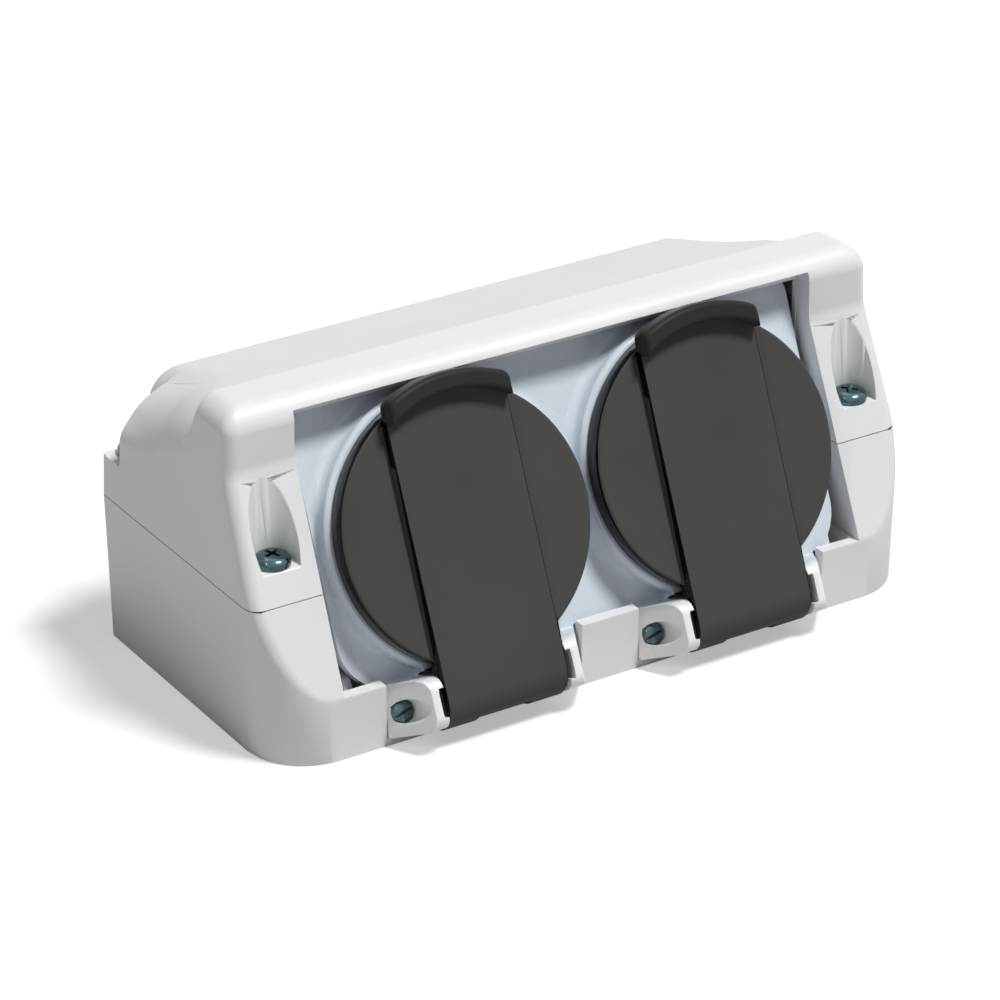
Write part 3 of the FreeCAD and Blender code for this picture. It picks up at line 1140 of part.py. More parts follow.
def make_earth_contact(side, unit_x):
    """Earth strap with two sprung noses and its terminal block, one folded piece."""
    body = new_body("earth_contact_" + side)
    face = "(-insert_face - well_depth - well_floor)"
    strap_top = face + " + strap_thick"
    tip = "(-earth_slot_top - tip_drop)"
    arm_in, arm_out = "strap_arm", "(strap_arm + strap_thick)"
    nose = "(well_radius - nose_reach)"
    half = [
        (arm_out, face), (arm_out, tip), (arm_in, tip), (nose, tip + " - nose_drop"),
        (nose, tip + " - nose_drop - nose_length"), (arm_in,
                                                     tip + " - nose_drop - nose_length - nose_run"),
        (arm_in, strap_top)]
    high = [("disc_s + " + s, n) for s, n in half]
    low = [("disc_s - " + s, n) for s, n in reversed(half)]
    strap = outline(body, "strap", "YZ_Plane", high + low)
    pad(body, strap, "strap_half * 2", both=True)
    end = "(%s - earth_extra)" % terminal_end()
    block = rectangle(body, "earth_block", "XY_Plane", "-earth_side", "earth_side", "disc_s - earth_side",
                      "disc_s + earth_side", ("0", "0", face + " + strap_thick/2"))
    pad(body, block, "%s + strap_thick/2 - %s" % (face, end), back=True)
    terminal_holes(body, "0", end, "earth_side", "-")
    finish(body, "earth_contact_" + side, unit_x)


def make_terminal_screws(side, unit_x):
    """Three terminal screws, one for each contact."""
    shapes = []
    for name, x, extra in (("live", "-pin_half", "0"), ("neutral", "pin_half", "0"),
                           ("earth", "0", "earth_extra")):
        body = new_body("terminal_%s_%s" % (name, side))
        end = "(%s - %s)" % (terminal_end(), extra)
        profile = outline(body, "terminal_profile", "XZ_Plane", [
            ("0", end + " - terminal_head_height"), ("terminal_head", end + " - terminal_head_height"),
            ("terminal_head", end), ("terminal_shank", end), ("terminal_shank",
                                                              end + " + terminal_reach"),
            ("0", end + " + terminal_reach")], (x, "0", "-disc_s"))
        turn(body, profile, "V_Axis")
        slot = rectangle(body, "terminal_slot", "XY_Plane", x + " - terminal_head",
                         x + " + terminal_head",
                         "disc_s - drive_width/2", "disc_s + drive_width/2",
                         ("0", "0", end + " - terminal_head_height"))
        pocket(body, slot, "terminal_head_height / 2", back=True)
        shapes.append(body)
    group = doc.addObject("Part::Compound", "terminal_screws_" + side)
    group.Links = shapes
    finish(group, "terminal_screws_" + side, unit_x)


def make_link_bar(kind):
    """Bar that links the same terminals of both sockets."""
    body = new_body("link_bar_" + kind)
    x = {"live": "-pin_half", "neutral": "pin_half", "earth": "0"}[kind]
    end = "(%s - %s)" % (terminal_end(), "earth_extra" if kind == "earth" else "0")
    level = end + " + terminal_reach + bar_level + bar_side + bar_clear"
    way = "+" if kind == "neutral" else "-"
    drop = "earth_bar_drop" if kind == "earth" else "bar_drop"
    tip = "disc_s %s bar_end" % way
    near_edge = "disc_s %s (%s)" % (way, drop)
    far_edge = "disc_s %s (%s + bar_side * 2)" % (way, drop)
    left, right = "(-pitch/2 + %s)" % x, "(pitch/2 + %s)" % x
    bar = outline(body, "bar_path", "XY_Plane", [
        (left + " - bar_side", tip), (left + " - bar_side", far_edge), (right + " + bar_side", far_edge),
        (right + " + bar_side", tip), (right + " - bar_side", tip), (right + " - bar_side", near_edge),
        (left + " + bar_side", near_edge), (left + " + bar_side", tip)], ("0", "0", level))
    pad(body, bar, "bar_side * 2", both=True)
    finish(body, "link_bar_" + kind, "0")


def make_grommet(side, sign):
    """Rubber cable grommet with a thin closed membrane, in the rear wall."""
    body = new_body("cable_grommet_" + side)
    inner = "(half_depth - wall)"
    hub = "entry_radius - grommet_clear"
    profile = outline(body, "grommet_profile", "XY_Plane", [
        ("0", inner), (hub + " - grommet_step - grommet_lip", inner),
        (hub + " - grommet_step", inner + " - grommet_flange_thick"),
        ("grommet_flange", inner + " - grommet_flange_thick"), ("grommet_flange", inner), (hub, inner),
        (hub, "half_depth - grommet_clear"), (hub + " - grommet_lip", "half_depth - grommet_clear"),
        (hub + " - grommet_step * 2", inner + " + grommet_membrane"), ("0",
            inner + " + grommet_membrane")])
    turn(body, profile, "V_Axis")
    finish(body, "cable_grommet_" + side)
    bind(body, "Placement.Base.x", sign + "entry_x")
    bind(body, "Placement.Base.z", "entry_z")


housing_cavity = make_cavity()
corner_notches = make_notches()
make_base(make_base_form(), housing_cavity)
make_cover(make_cover_form(corner_notches), housing_cavity, corner_notches)
make_joint_seal()
make_cover_screws()
make_plate()
for side, sign in SIDES:
    unit = sign + "pitch/2"
    make_lid(side, unit)
    make_lid_seal(side, unit)
    make_hinge_pin(side, unit)
    make_spring(side, unit)
    make_fixing_screw(side, unit)
    make_insert(side, unit)
    make_carrier(side, unit)
    make_contact("live", side, unit)
    make_contact("neutral", side, unit)
    make_earth_contact(side, unit)
    make_terminal_screws(side, unit)
    make_grommet(side, sign)
for kind in ("live", "neutral", "earth"):
    make_link_bar(kind)

doc.recompute()
for thing in doc.Objects:
    if "Invalid" in thing.State or "Error" in thing.State:
        raise RuntimeError("%s (%s) failed: %s" % (thing.Name, thing.Label, thing.State))
os.makedirs("parts", exist_ok=True)
for piece in NODES:
    if piece.Shape.isNull() or not piece.Shape.isValid():
        raise RuntimeError("bad shape: " + piece.Label)
    piece.Shape.exportStep("parts/%s.step" % piece.Label)
print("nodes", len(NODES))
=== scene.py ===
"""Looks of a twin outdoor socket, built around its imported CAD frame.

Every size is in metres. X runs along the housing, the lids face -Y and +Z points away from the wall.
Pieces of the tilted socket unit are drawn with x along the hinge, y up the slope and z out of it.
"""

import json
import logging
import math
from dataclasses import dataclass, field
from enum import Enum
from typing import Callable

import bmesh
import bpy
from mathutils import Matrix, Vector
from mathutils.bvhtree import BVHTree
from mathutils.geometry import area_tri, tessellate_polygon
from mathutils.kdtree import KDTree

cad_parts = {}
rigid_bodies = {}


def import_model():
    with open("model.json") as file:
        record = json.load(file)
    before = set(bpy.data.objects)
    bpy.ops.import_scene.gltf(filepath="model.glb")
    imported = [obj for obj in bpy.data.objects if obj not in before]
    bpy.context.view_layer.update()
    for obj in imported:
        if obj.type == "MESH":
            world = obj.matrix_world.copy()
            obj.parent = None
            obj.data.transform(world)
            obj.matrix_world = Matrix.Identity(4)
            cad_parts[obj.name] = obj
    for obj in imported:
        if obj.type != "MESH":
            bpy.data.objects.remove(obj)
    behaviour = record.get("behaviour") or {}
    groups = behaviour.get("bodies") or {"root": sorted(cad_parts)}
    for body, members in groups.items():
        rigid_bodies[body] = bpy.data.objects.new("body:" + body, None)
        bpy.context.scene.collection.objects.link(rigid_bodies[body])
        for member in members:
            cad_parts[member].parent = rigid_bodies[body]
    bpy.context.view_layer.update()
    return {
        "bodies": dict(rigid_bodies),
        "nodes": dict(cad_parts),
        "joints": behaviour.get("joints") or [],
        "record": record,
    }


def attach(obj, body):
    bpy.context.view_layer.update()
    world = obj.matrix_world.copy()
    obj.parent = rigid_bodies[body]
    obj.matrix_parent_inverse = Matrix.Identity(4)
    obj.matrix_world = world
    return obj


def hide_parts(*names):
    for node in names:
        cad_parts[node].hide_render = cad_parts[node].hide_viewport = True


logging.basicConfig(level=logging.INFO, format="%(levelname)s %(message)s")
log = logging.getLogger("twin_socket")

Colour = tuple[float, float, float]
Profile = list[tuple[float, float]]
ROOM_SHARE = 0.45
LEAST_ROUND = 0.12
STRAIGHT_ENOUGH = math.radians(140.0)
FOLD_SHARE = 1.003
FOLD_AREA = 2e-9


class Body(Enum):
    """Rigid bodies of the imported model."""

    HOUSING = "housing"
    LEFT_LID = "left_lid"
    RIGHT_LID = "right_lid"


class Side(Enum):
    """The two sockets and the body of their lids."""

    LEFT = "left"
    RIGHT = "right"

    @property
    def sign(self) -> float:
        """Side of the middle on which the socket lies."""
        return -1.0 if self is Side.LEFT else 1.0

    @property
    def lid_body(self) -> Body:
        """Body that the lid of this socket rides on."""
        return Body.LEFT_LID if self is Side.LEFT else Body.RIGHT_LID


@dataclass(frozen=True)
class UnitFrame:
    """Tilted frame of the socket unit, with the hinge axis as origin."""

    tilt: float = math.radians(66.3)
    hinge_y: float = -0.0405
    hinge_z: float = 0.0094
    half_pitch: float = 0.03175
    lid_centre: float = 0.0344

    def matrix(self, side: Side, up: float = 0.0) -> Matrix:
        """Matrix from the frame of one socket to the housing.

        Args:
            side: Which socket.
            up: Shift of the origin up the slope.

        Returns:
            The matrix.
        """
        hinge = Vector((side.sign * self.half_pitch, self.hinge_y, self.hinge_z))
        lifted = Matrix.Translation((0.0, up, 0.0))
        return Matrix.Translation(hinge) @ Matrix.Rotation(self.tilt, 4, "X") @ lifted


class ShaderGraph:
    """Short way to write a material's node tree."""

    def __init__(self, name: str) -> None:
        """Start a material with a principled shader and object coordinates.

        Args:
            name: Name of the material.
        """
        self.material = bpy.data.materials.new(name)
        self.material.use_nodes = True
        self.nodes = self.material.node_tree.nodes
        self.links = self.material.node_tree.links
        self.nodes.clear()
        self.output = self.nodes.new("ShaderNodeOutputMaterial")
        self.shader = self.nodes.new("ShaderNodeBsdfPrincipled")
        self.links.new(self.shader.outputs["BSDF"], self.output.inputs["Surface"])
        self.place = self.nodes.new("ShaderNodeTexCoord").outputs["Object"]

    def put(self, name: str, value: object) -> None:
        """Set a constant on the principled shader.

        Args:
            name: Name of the socket.
            value: Number or colour of the socket.
        """
        self.shader.inputs[name].default_value = value

    def place_in(self, unit: UnitFrame) -> bpy.types.NodeSocket:
        """Coordinates in the frame of the socket unit, with x from the middle of the housing.

        Args:
            unit: The tilted frame.

        Returns:
            The socket of the coordinates.
        """
        node = self.nodes.new("ShaderNodeMapping")
        back = Matrix.Rotation(-unit.tilt, 3, "X")
        node.inputs["Rotation"].default_value = (-unit.tilt, 0.0, 0.0)
        node.inputs["Location"].default_value = -(back @ Vector((0.0, unit.hinge_y, unit.hinge_z)))
        self.links.new(self.place, node.inputs["Vector"])
        return node.outputs["Vector"]

    def maths(self, operation: str, first: object, second: object = 0.0) -> bpy.types.NodeSocket:
        """Combine two numbers.

        Args:
            operation: Kind of operation.
            first: First number or socket.
            second: Second number or socket.

        Returns:
            The socket of the result.
        """
        node = self.nodes.new("ShaderNodeMath")
        node.operation = operation
        for port, value in zip(node.inputs, (first, second)):
            if isinstance(value, bpy.types.NodeSocket):
                self.links.new(value, port)
            else:
                port.default_value = value
        return node.outputs[0]

    def scaled(self, colour: bpy.types.NodeSocket, factor: bpy.types.NodeSocket) -> bpy.types.NodeSocket:
        """Colour multiplied by a number.

        Args:
            colour: Socket of the colour.
            factor: Socket of the number.

        Returns:
            The socket of the darker or lighter colour.
        """
        node = self.nodes.new("ShaderNodeVectorMath")
        node.operation = "SCALE"
        self.links.new(colour, node.inputs[0])
        self.links.new(factor, node.inputs["Scale"])
        return node.outputs[0]

    def noise(self, scale: float, detail: float) -> bpy.types.NodeSocket:
        """Noise in object space.

        Args:
            scale: Number of patches per metre.
            detail: Number of octaves.

        Returns:
            The socket of the noise value.
        """
        node = self.nodes.new("ShaderNodeTexNoise")
        node.inputs["Scale"].default_value = scale
        node.inputs["Detail"].default_value = detail
        self.links.new(self.place, node.inputs["Vector"])
        return node.outputs["Fac"]

    def spread(self, value: bpy.types.NodeSocket, low: float, high: float) -> bpy.types.NodeSocket:
        """Map the middle of a noise value to a range.

        Args:
            value: Socket of the noise value.
            low: Result for a low noise value.
            high: Result for a high noise value.

        Returns:
            The socket of the mapped value.
        """
        node = self.nodes.new("ShaderNodeMapRange")
        node.inputs["From Min"].default_value = 0.3
        node.inputs["From Max"].default_value = 0.7
        node.inputs["To Min"].default_value = low
        node.inputs["To Max"].default_value = high
        self.links.new(value, node.inputs["Value"])
        return node.outputs["Result"]

    def blend(self, value: bpy.types.NodeSocket, low: Colour, high: Colour) -> bpy.types.NodeSocket:
        """Blend two colours by a value from 0 to 1.

        Args:
            value: Socket of the blend value.
            low: Colour at 0.
            high: Colour at 1.

        Returns:
            The socket of the blended colour.
        """
        node = self.nodes.new("ShaderNodeMix")
        node.data_type = "RGBA"
        colours = [port for port in node.inputs if port.type == "RGBA"]
        colours[0].default_value = (*low, 1.0)
        colours[1].default_value = (*high, 1.0)
        self.links.new(value, node.inputs[0])
        return next(port for port in node.outputs if port.type == "RGBA")

    def bump(self, value: bpy.types.NodeSocket, depth: float) -> None:
        """Use a value as bump of the principled shader, on top of any bump before it.

        Args:
            value: Socket of the height value.
            depth: Height of the bump in metres.
        """
        node = self.nodes.new("ShaderNodeBump")
        node.inputs["Distance"].default_value = depth
        self.links.new(value, node.inputs["Height"])
        for link in list(self.shader.inputs["Normal"].links):
            self.links.new(link.from_socket, node.inputs["Normal"])
        self.links.new(node.outputs["Normal"], self.shader.inputs["Normal"])

    def feed(self, name: str, value: bpy.types.NodeSocket) -> None:
        """Link a value to a socket of the principled shader.

        Args:
            name: Name of the socket.
            value: Socket that feeds it.
        """
        self.links.new(value, self.shader.inputs[name])


def shade(colour: Colour, factor: float) -> Colour:
    """Colour multiplied by a factor."""
    return tuple(min(1.0, channel * factor) for channel in colour)


@dataclass(frozen=True)
class MouldedPlastic:
    """Satin moulded plastic with a fine spark-eroded grain and slight flow patches."""

    name: str
    colour: Colour
    roughness: float = 0.42
    gloss: float = 0.5
    mottle: float = 0.015
    grain: float = 0.00001
    grain_scale: float = 2400.0

    def make(self) -> bpy.types.Material:
        """Build the material."""
        graph = ShaderGraph(self.name)
        flow = graph.spread(graph.noise(38.0, 3.0), 0.0, 1.0)
        low = shade(self.colour, 1.0 - self.mottle)
        high = shade(self.colour, 1.0 + self.mottle)
        graph.feed("Base Color", graph.blend(flow, low, high))
        rub = graph.noise(140.0, 4.0)
        graph.feed("Roughness", graph.spread(rub, self.roughness - 0.05, self.roughness + 0.05))
        graph.put("Specular IOR Level", self.gloss)
        graph.bump(graph.noise(self.grain_scale, 2.0), self.grain)
        graph.bump(graph.noise(60.0, 2.0), self.grain * 2.0)
        return graph.material


@dataclass(frozen=True)
class PlatePlastic:
    """Glossy plastic of the socket plate, with painted light and shade: darker and faintly blue up the
    slope under the hood, lighter and neutral on the hinge ears.
    """

    name: str
    colour: Colour
    lit_ear_colour: Colour
    unit: UnitFrame
    ear_low: float = 0.0042
    ear_high: float = 0.0062
    roughness: float = 0.26

    def make(self) -> bpy.types.Material:
        """Build the material."""
        graph = ShaderGraph(self.name)
        split = graph.nodes.new("ShaderNodeSeparateXYZ")
        graph.links.new(graph.place_in(self.unit), split.inputs[0])
        # Painted light and shade: above ear_high the plate takes its darker, faintly blue colour,
        # standing in for the hood's shade, and below ear_low it takes the lighter, neutral colour of the
        # lit ears.
        fade = graph.nodes.new("ShaderNodeMapRange")
        fade.inputs["From Min"].default_value = self.ear_low
        fade.inputs["From Max"].default_value = self.ear_high
        graph.links.new(split.outputs["Y"], fade.inputs["Value"])
        graph.feed("Base Color", graph.blend(fade.outputs["Result"], self.lit_ear_colour, self.colour))
        rub = graph.noise(140.0, 3.0)
        graph.feed("Roughness", graph.spread(rub, self.roughness - 0.02, self.roughness + 0.03))
        graph.bump(graph.noise(2400.0, 2.0), 0.000006)
        return graph.material


@dataclass(frozen=True)
class LidPlastic:
    """Charcoal plastic of the lids, glossier on the rim, with painted shade that darkens the rim, the
    band's side walls and the finger lip.
    """

    name: str
    colour: Colour
    unit: UnitFrame
    roughness: float = 0.4
    rim_roughness: float = 0.16
    refraction: float = 1.14
    rim_refraction: float = 1.25
    rim_radius: float = 0.0297
    rim_low: float = 0.006
    rim_high: float = 0.0044
    lip_low: float = 0.0069
    band_half: float = 0.01475
    wall_low: float = 0.0046
    edge: float = 0.00016
    # Brightness left by the painted shade on the rim and band walls, and on the finger lip.
    rim_painted_shade: float = 0.05
    lip_painted_shade: float = 0.45

    def make(self) -> bpy.types.Material:
        """Build the material."""
        graph = ShaderGraph(self.name)
        place = graph.place_in(self.unit)
        rim, lip = self.masks(graph, place)
        flow = graph.spread(graph.noise(38.0, 3.0), 0.0, 1.0)
        plain = graph.blend(flow, shade(self.colour, 0.93), shade(self.colour, 1.07))
        # Painted shade: the colour is darkened on the disc rim, the band's side walls and the finger lip,
        # standing in for the shade that falls on them.
        painted_shade_factor = graph.maths("SUBTRACT", 1.0, graph.maths("MULTIPLY", rim, 1.0 - self.rim_painted_shade))
        painted_shade_factor = graph.maths("SUBTRACT", painted_shade_factor, graph.maths("MULTIPLY", lip, 1.0 - self.lip_painted_shade))
        graph.feed("Base Color", graph.scaled(plain, painted_shade_factor))
        rough = graph.spread(graph.noise(140.0, 4.0), self.roughness - 0.04, self.roughness + 0.04)
        drop = graph.maths("MULTIPLY", rim, self.roughness - self.rim_roughness)
        graph.feed("Roughness", graph.maths("SUBTRACT", rough, drop))
        bend = graph.maths("MULTIPLY", rim, self.rim_refraction - self.refraction)
        graph.feed("IOR", graph.maths("ADD", self.refraction, bend))
        graph.bump(graph.noise(2400.0, 2.0), 0.000012)
        return graph.material

    def masks(self, graph: ShaderGraph, place: bpy.types.NodeSocket) -> tuple[bpy.types.NodeSocket, ...]:
        """Masks of the upright walls and of the finger lip, where shade is painted into the colour.

        Args:
            graph: Material that the masks are made in.
            place: Coordinates in the frame of the socket unit.

        Returns:
            The sockets of both masks.
        """
        split = graph.nodes.new("ShaderNodeSeparateXYZ")
        graph.links.new(place, split.inputs[0])
        outward = graph.maths("ABSOLUTE", split.outputs["X"])
        across = graph.maths("SUBTRACT", outward, self.unit.half_pitch)
        along = graph.maths("SUBTRACT", split.outputs["Y"], self.unit.lid_centre)
        reach = graph.maths("SQRT", graph.maths("ADD", graph.maths("MULTIPLY", across, across),
                                                graph.maths("MULTIPLY", along, along)))
        rim = graph.maths("MULTIPLY", graph.maths("GREATER_THAN", reach, self.rim_radius),
                          graph.maths("LESS_THAN", split.outputs["Z"], self.rim_high))
        rim = graph.maths("MULTIPLY", rim, graph.maths("GREATER_THAN", split.outputs["Y"], self.rim_low))
        beside = graph.maths("SUBTRACT", graph.maths("ABSOLUTE", across), self.band_half)
        off = graph.maths("ABSOLUTE", beside)
        wall = graph.maths("MULTIPLY", graph.maths("LESS_THAN", off, self.edge),
                           graph.maths("GREATER_THAN", split.outputs["Z"], self.wall_low))
        rim = graph.maths("MAXIMUM", rim, wall)
        lip = graph.maths("GREATER_THAN", split.outputs["Z"], self.lip_low)
        return graph.maths("MULTIPLY", rim, graph.maths("SUBTRACT", 1.0, lip)), lip


@dataclass(frozen=True)
class PlatedMetal:
    """Plated or drawn metal with light handling marks."""

    name: str
    colour: Colour
    roughness: float = 0.28
    stain: float = 0.8
    coat: float = 0.0

    def make(self) -> bpy.types.Material:
        """Build the material."""
        graph = ShaderGraph(self.name)
        cloud = graph.spread(graph.noise(420.0, 4.0), 0.0, 1.0)
        graph.feed("Base Color", graph.blend(cloud, shade(self.colour, self.stain), self.colour))
        graph.put("Metallic", 1.0)
        graph.put("Coat Weight", self.coat)
        graph.put("Coat Roughness", 0.12)
        marks = graph.noise(900.0, 3.0)
        graph.feed("Roughness", graph.spread(marks, self.roughness - 0.08, self.roughness + 0.1))
        graph.bump(graph.noise(1800.0, 3.0), 0.000008)
        return graph.material


@dataclass(frozen=True)
class SoftRubber:
    """Matt rubber with a faint bloom."""

    name: str
    colour: Colour

    def make(self) -> bpy.types.Material:
        """Build the material."""
        graph = ShaderGraph(self.name)
        bloom = graph.spread(graph.noise(120.0, 4.0), 0.0, 1.0)
        graph.feed("Base Color", graph.blend(bloom, shade(self.colour, 0.88), shade(self.colour, 1.15)))
        graph.feed("Roughness", graph.spread(graph.noise(300.0, 3.0), 0.68, 0.82))
        graph.bump(graph.noise(1500.0, 3.0), 0.000015)
        return graph.material


FINISHES = {
    "grey_shell": MouldedPlastic("grey_shell", (0.77, 0.78, 0.78), roughness=0.4),
    "white_shell": MouldedPlastic("white_shell", (0.79, 0.8, 0.8), roughness=0.38),
    # The plate colour holds painted shade from the hood; the lighter ear colour holds painted light.
    "white_plate": PlatePlastic("white_plate", (0.655, 0.71, 0.775), (0.86, 0.86, 0.85), UnitFrame()),
    "dark_lid": LidPlastic("dark_lid", (0.069, 0.068, 0.066), UnitFrame()),
    "dark_insert": MouldedPlastic("dark_insert", (0.02, 0.02, 0.02), roughness=0.36),
    "carrier": MouldedPlastic("carrier", (0.5, 0.5, 0.47), roughness=0.5),
    "soft_seal": SoftRubber("soft_seal", (0.06, 0.065, 0.07)),
    # The teal is the plating's own; the darkness of the screw colour is a painted reflection of dark
    # surroundings.
    "zinc_screw": PlatedMetal("zinc_screw", (0.075, 0.14, 0.15), roughness=0.2, coat=0.5),
    "stainless": PlatedMetal("stainless", (0.62, 0.62, 0.61)),
    "brass_contact": PlatedMetal("brass_contact", (0.72, 0.55, 0.26), stain=0.9),
}


class Workshop:
    """Makes meshes, places them in the frame and dresses them.

    Angles are in degrees: edges that turn more than round_angle are rounded, faces that lean less than
    flat from each other are joined, and edges that turn more than shade_angle stay sharp in the shading.
    Faces of more than large_face square metres keep their own normals.
    """

    merge = 1e-6
    round_angle = 26.0
    round_steps = 2
    repairs = 6
    flat = 0.3
    shade_angle = 38.0
    large_face = 1.4e-5

    def __init__(self, frame: dict) -> None:
        """Keep the frame and make every finish once.
        """
        self.nodes = frame["nodes"]
        self.slots = {row["node"]: row["material_slot"] for row in frame["record"]["subparts"]}
        self.finishes = {slot: finish.make() for slot, finish in FINISHES.items()}
        for name, node in self.nodes.items():
            node.data.materials.clear()
            node.data.materials.append(self.finishes[self.slots[name]])

    def add(self, name: str, mesh: bpy.types.Mesh, slot: str, body: Body,
            replaced: tuple[str, ...] = ()) -> None:
        """Put a finished mesh in the scene on its body and hide the CAD nodes that it stands for.

        Args:
            name: Name of the piece.
            mesh: Its mesh, with its place in the vertices.
            slot: Material slot of its finish.
            body: Body that it rides on.
            replaced: CAD nodes that it stands for.
        """
        mesh.name = name
        mesh.materials.clear()
        mesh.materials.append(self.finishes[slot])
        piece = bpy.data.objects.new(name, mesh)
        bpy.context.scene.collection.objects.link(piece)
        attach(piece, body.value)
        if replaced:
            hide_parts(*replaced)
        log.info("%s: %d faces, on %s", name, len(mesh.polygons), body.value)

    def softened(self, node: str, width: float,
                 form: Callable[[bmesh.types.BMesh], None] | None = None) -> bpy.types.Mesh:
        """Copy of a CAD node's mesh with its sharp edges rounded.

        Args:
            node: Name of the CAD node.
            width: Width of the rounds.
            form: Function that shapes the rounded mesh further.

        Returns:
            The rounded mesh.
        """
        source = bmesh.new()
        source.from_mesh(self.nodes[node].data)
        bmesh.ops.remove_doubles(source, verts=source.verts, dist=self.merge)
        bmesh.ops.dissolve_degenerate(source, edges=source.edges, dist=2.0 * self.merge)
        surface = BVHTree.FromBMesh(source)
        weigh_rounds(source, width, math.radians(self.round_angle))
        corners = KDTree(len(source.verts))
        for index, vertex in enumerate(source.verts):
            corners.insert(vertex.co, index)
        corners.balance()
        result = self.rounded(source, node, width)
        shape = bmesh.new()
        shape.from_mesh(result)
        self.mend(shape, surface, corners, width)
        bmesh.ops.dissolve_limit(shape, angle_limit=math.radians(self.flat), verts=[],
                                 edges=shape.edges, delimit=set())
        if form:
            form(shape)
        shape.to_mesh(result)
        shape.free()
        return evened(result, self.shade_angle, self.large_face)

    def rounded(self, source: bmesh.types.BMesh, node: str, width: float) -> bpy.types.Mesh:
        """Mesh with its marked edges rounded; the source is freed.

        Args:
            source: The mesh with a share of the round on each edge.
            node: Name of the CAD node that it copies.
            width: Full width of the rounds.

        Returns:
            The rounded mesh.
        """
        carrier = bpy.data.objects.new(node + "_copy", mesh_of(source, node + "_copy"))
        bpy.context.scene.collection.objects.link(carrier)
        rounds = carrier.modifiers.new("rounds", "BEVEL")
        rounds.width = width
        rounds.segments = self.round_steps
        rounds.limit_method = "WEIGHT"
        rounds.use_clamp_overlap = False
        rounds.miter_outer = "MITER_ARC"
        rounds.loop_slide = False
        return applied(carrier)

    def mend(self, shape: bmesh.types.BMesh, surface: BVHTree, corners: KDTree, width: float) -> None:
        """Take back the rounds where they made a spike, a fold or a turned face.

        Args:
            shape: The rounded mesh.
            surface: Surface before the rounds.
            corners: Corners before the rounds.
            width: Full width of the rounds.
        """
        for vertex in shape.verts:
            near, _, _, distance = surface.find_nearest(vertex.co)
            if distance > width:
                vertex.co = near
        for _ in range(self.repairs):
            shape.normal_update()
            bad = dict.fromkeys(vertex for face in shape.faces
                                if is_folded(face) or is_turned(face, surface) for vertex in face.verts)
            for vertex in bad:
                vertex.co = corners.find(vertex.co)[0]
            bmesh.ops.remove_doubles(shape, verts=list(bad), dist=self.merge)
            bmesh.ops.dissolve_degenerate(shape, edges=shape.edges, dist=self.merge)
            if not bad:
                break


def weigh_rounds(shape: bmesh.types.BMesh, width: float, angle: float) -> None:
    """Mark the sharp edges with the share of the round that there is room for.

    Args:
        shape: The mesh.
        width: Full width of the rounds.
        angle: Edges that turn more than this are rounded.
    """
    share = shape.edges.layers.float.new("bevel_weight_edge")
    sharp = {edge for edge in shape.edges
             if len(edge.link_faces) == 2 and edge.calc_face_angle(0.0) > angle}
    room = {}
    for vertex in {vertex for edge in sharp for vertex in edge.verts}:
        own = [edge for edge in vertex.link_edges if edge in sharp]
        beside = [edge for edge in vertex.link_edges if edge not in sharp]
        turned = len(own) != 2
        if not turned:
            first, second = (edge.other_vert(vertex).co - vertex.co for edge in own)
            turned = first.angle(second, 0.0) < STRAIGHT_ENOUGH
        lengths = [edge.calc_length() for edge in beside + (own if turned else [])]
        room[vertex] = min(lengths, default=1.0)
    for edge in sharp:
        fit = ROOM_SHARE * min(room[vertex] for vertex in edge.verts) / width
        edge[share] = min(1.0, fit) if fit > LEAST_ROUND else 0.0


def is_turned(face: bmesh.types.BMFace, surface: BVHTree) -> bool:
    """Tell whether a face points away from the surface that it lies on.

    Args:
        face: The face.
        surface: Surface before the rounds.

    Returns:
        True where the face is turned over.
    """
    return surface.find_nearest(face.calc_center_median())[1].dot(face.normal) < 0.0


def is_folded(face: bmesh.types.BMFace) -> bool:
    """Tell whether the triangles that fill a face overlap each other.

    Args:
        face: The face.

    Returns:
        True where they cover more than the area of the face.
    """
    if len(face.verts) == 3:
        return False
    corners = [vertex.co for vertex in face.verts]
    triangles = tessellate_polygon([corners])
    filled = sum(area_tri(*(corners[index] for index in triangle)) for triangle in triangles)
    return filled > face.calc_area() * FOLD_SHARE + FOLD_AREA


def mesh_of(shape: bmesh.types.BMesh, name: str) -> bpy.types.Mesh:
    """Mesh of a shape, smooth shaded; the shape is freed.

    Args:
        shape: The edited shape.
        name: Name of the mesh.

    Returns:
        The mesh.
    """
    mesh = bpy.data.meshes.new(name)
    shape.to_mesh(mesh)
    shape.free()
    mesh.shade_smooth()
    return mesh


def evened(mesh: bpy.types.Mesh, angle: float, large: float) -> bpy.types.Mesh:
    """Smooth shaded copy of a mesh whose large faces keep their own normals.

    Args:
        mesh: The mesh.
        angle: Edges that turn more than this many degrees stay sharp.
        large: Faces of more than this area keep their own normals.

    Returns:
        The shaded mesh.
    """
    for name in ("custom_normal", "bevel_weight_edge"):
        if name in mesh.attributes:
            mesh.attributes.remove(mesh.attributes[name])
    mesh.update()
    mesh.shade_smooth()
    mesh.set_sharp_from_angle(angle=math.radians(angle))
    carrier = bpy.data.objects.new(mesh.name, mesh)
    bpy.context.scene.collection.objects.link(carrier)
    flats = carrier.vertex_groups.new(name="flats")
    held = [index for face in mesh.polygons if face.area > large for index in face.vertices]
    flats.add(held, 1.0, "REPLACE")
    weights = carrier.modifiers.new("normals", "WEIGHTED_NORMAL")
    weights.vertex_group = flats.name
    weights.mode = "FACE_AREA_WITH_ANGLE"
    weights.weight = 50
    weights.keep_sharp = True
    return applied(carrier)


def applied(carrier: bpy.types.Object) -> bpy.types.Mesh:
    """Mesh of an object with its modifiers applied; the object is removed.

    Args:
        carrier: The object.

    Returns:
        The plain mesh.
    """
    view = bpy.context.evaluated_depsgraph_get()
    mesh = bpy.data.meshes.new_from_object(carrier.evaluated_get(view))
    carrier.modifiers.clear()
    bpy.data.objects.remove(carrier)
    return mesh


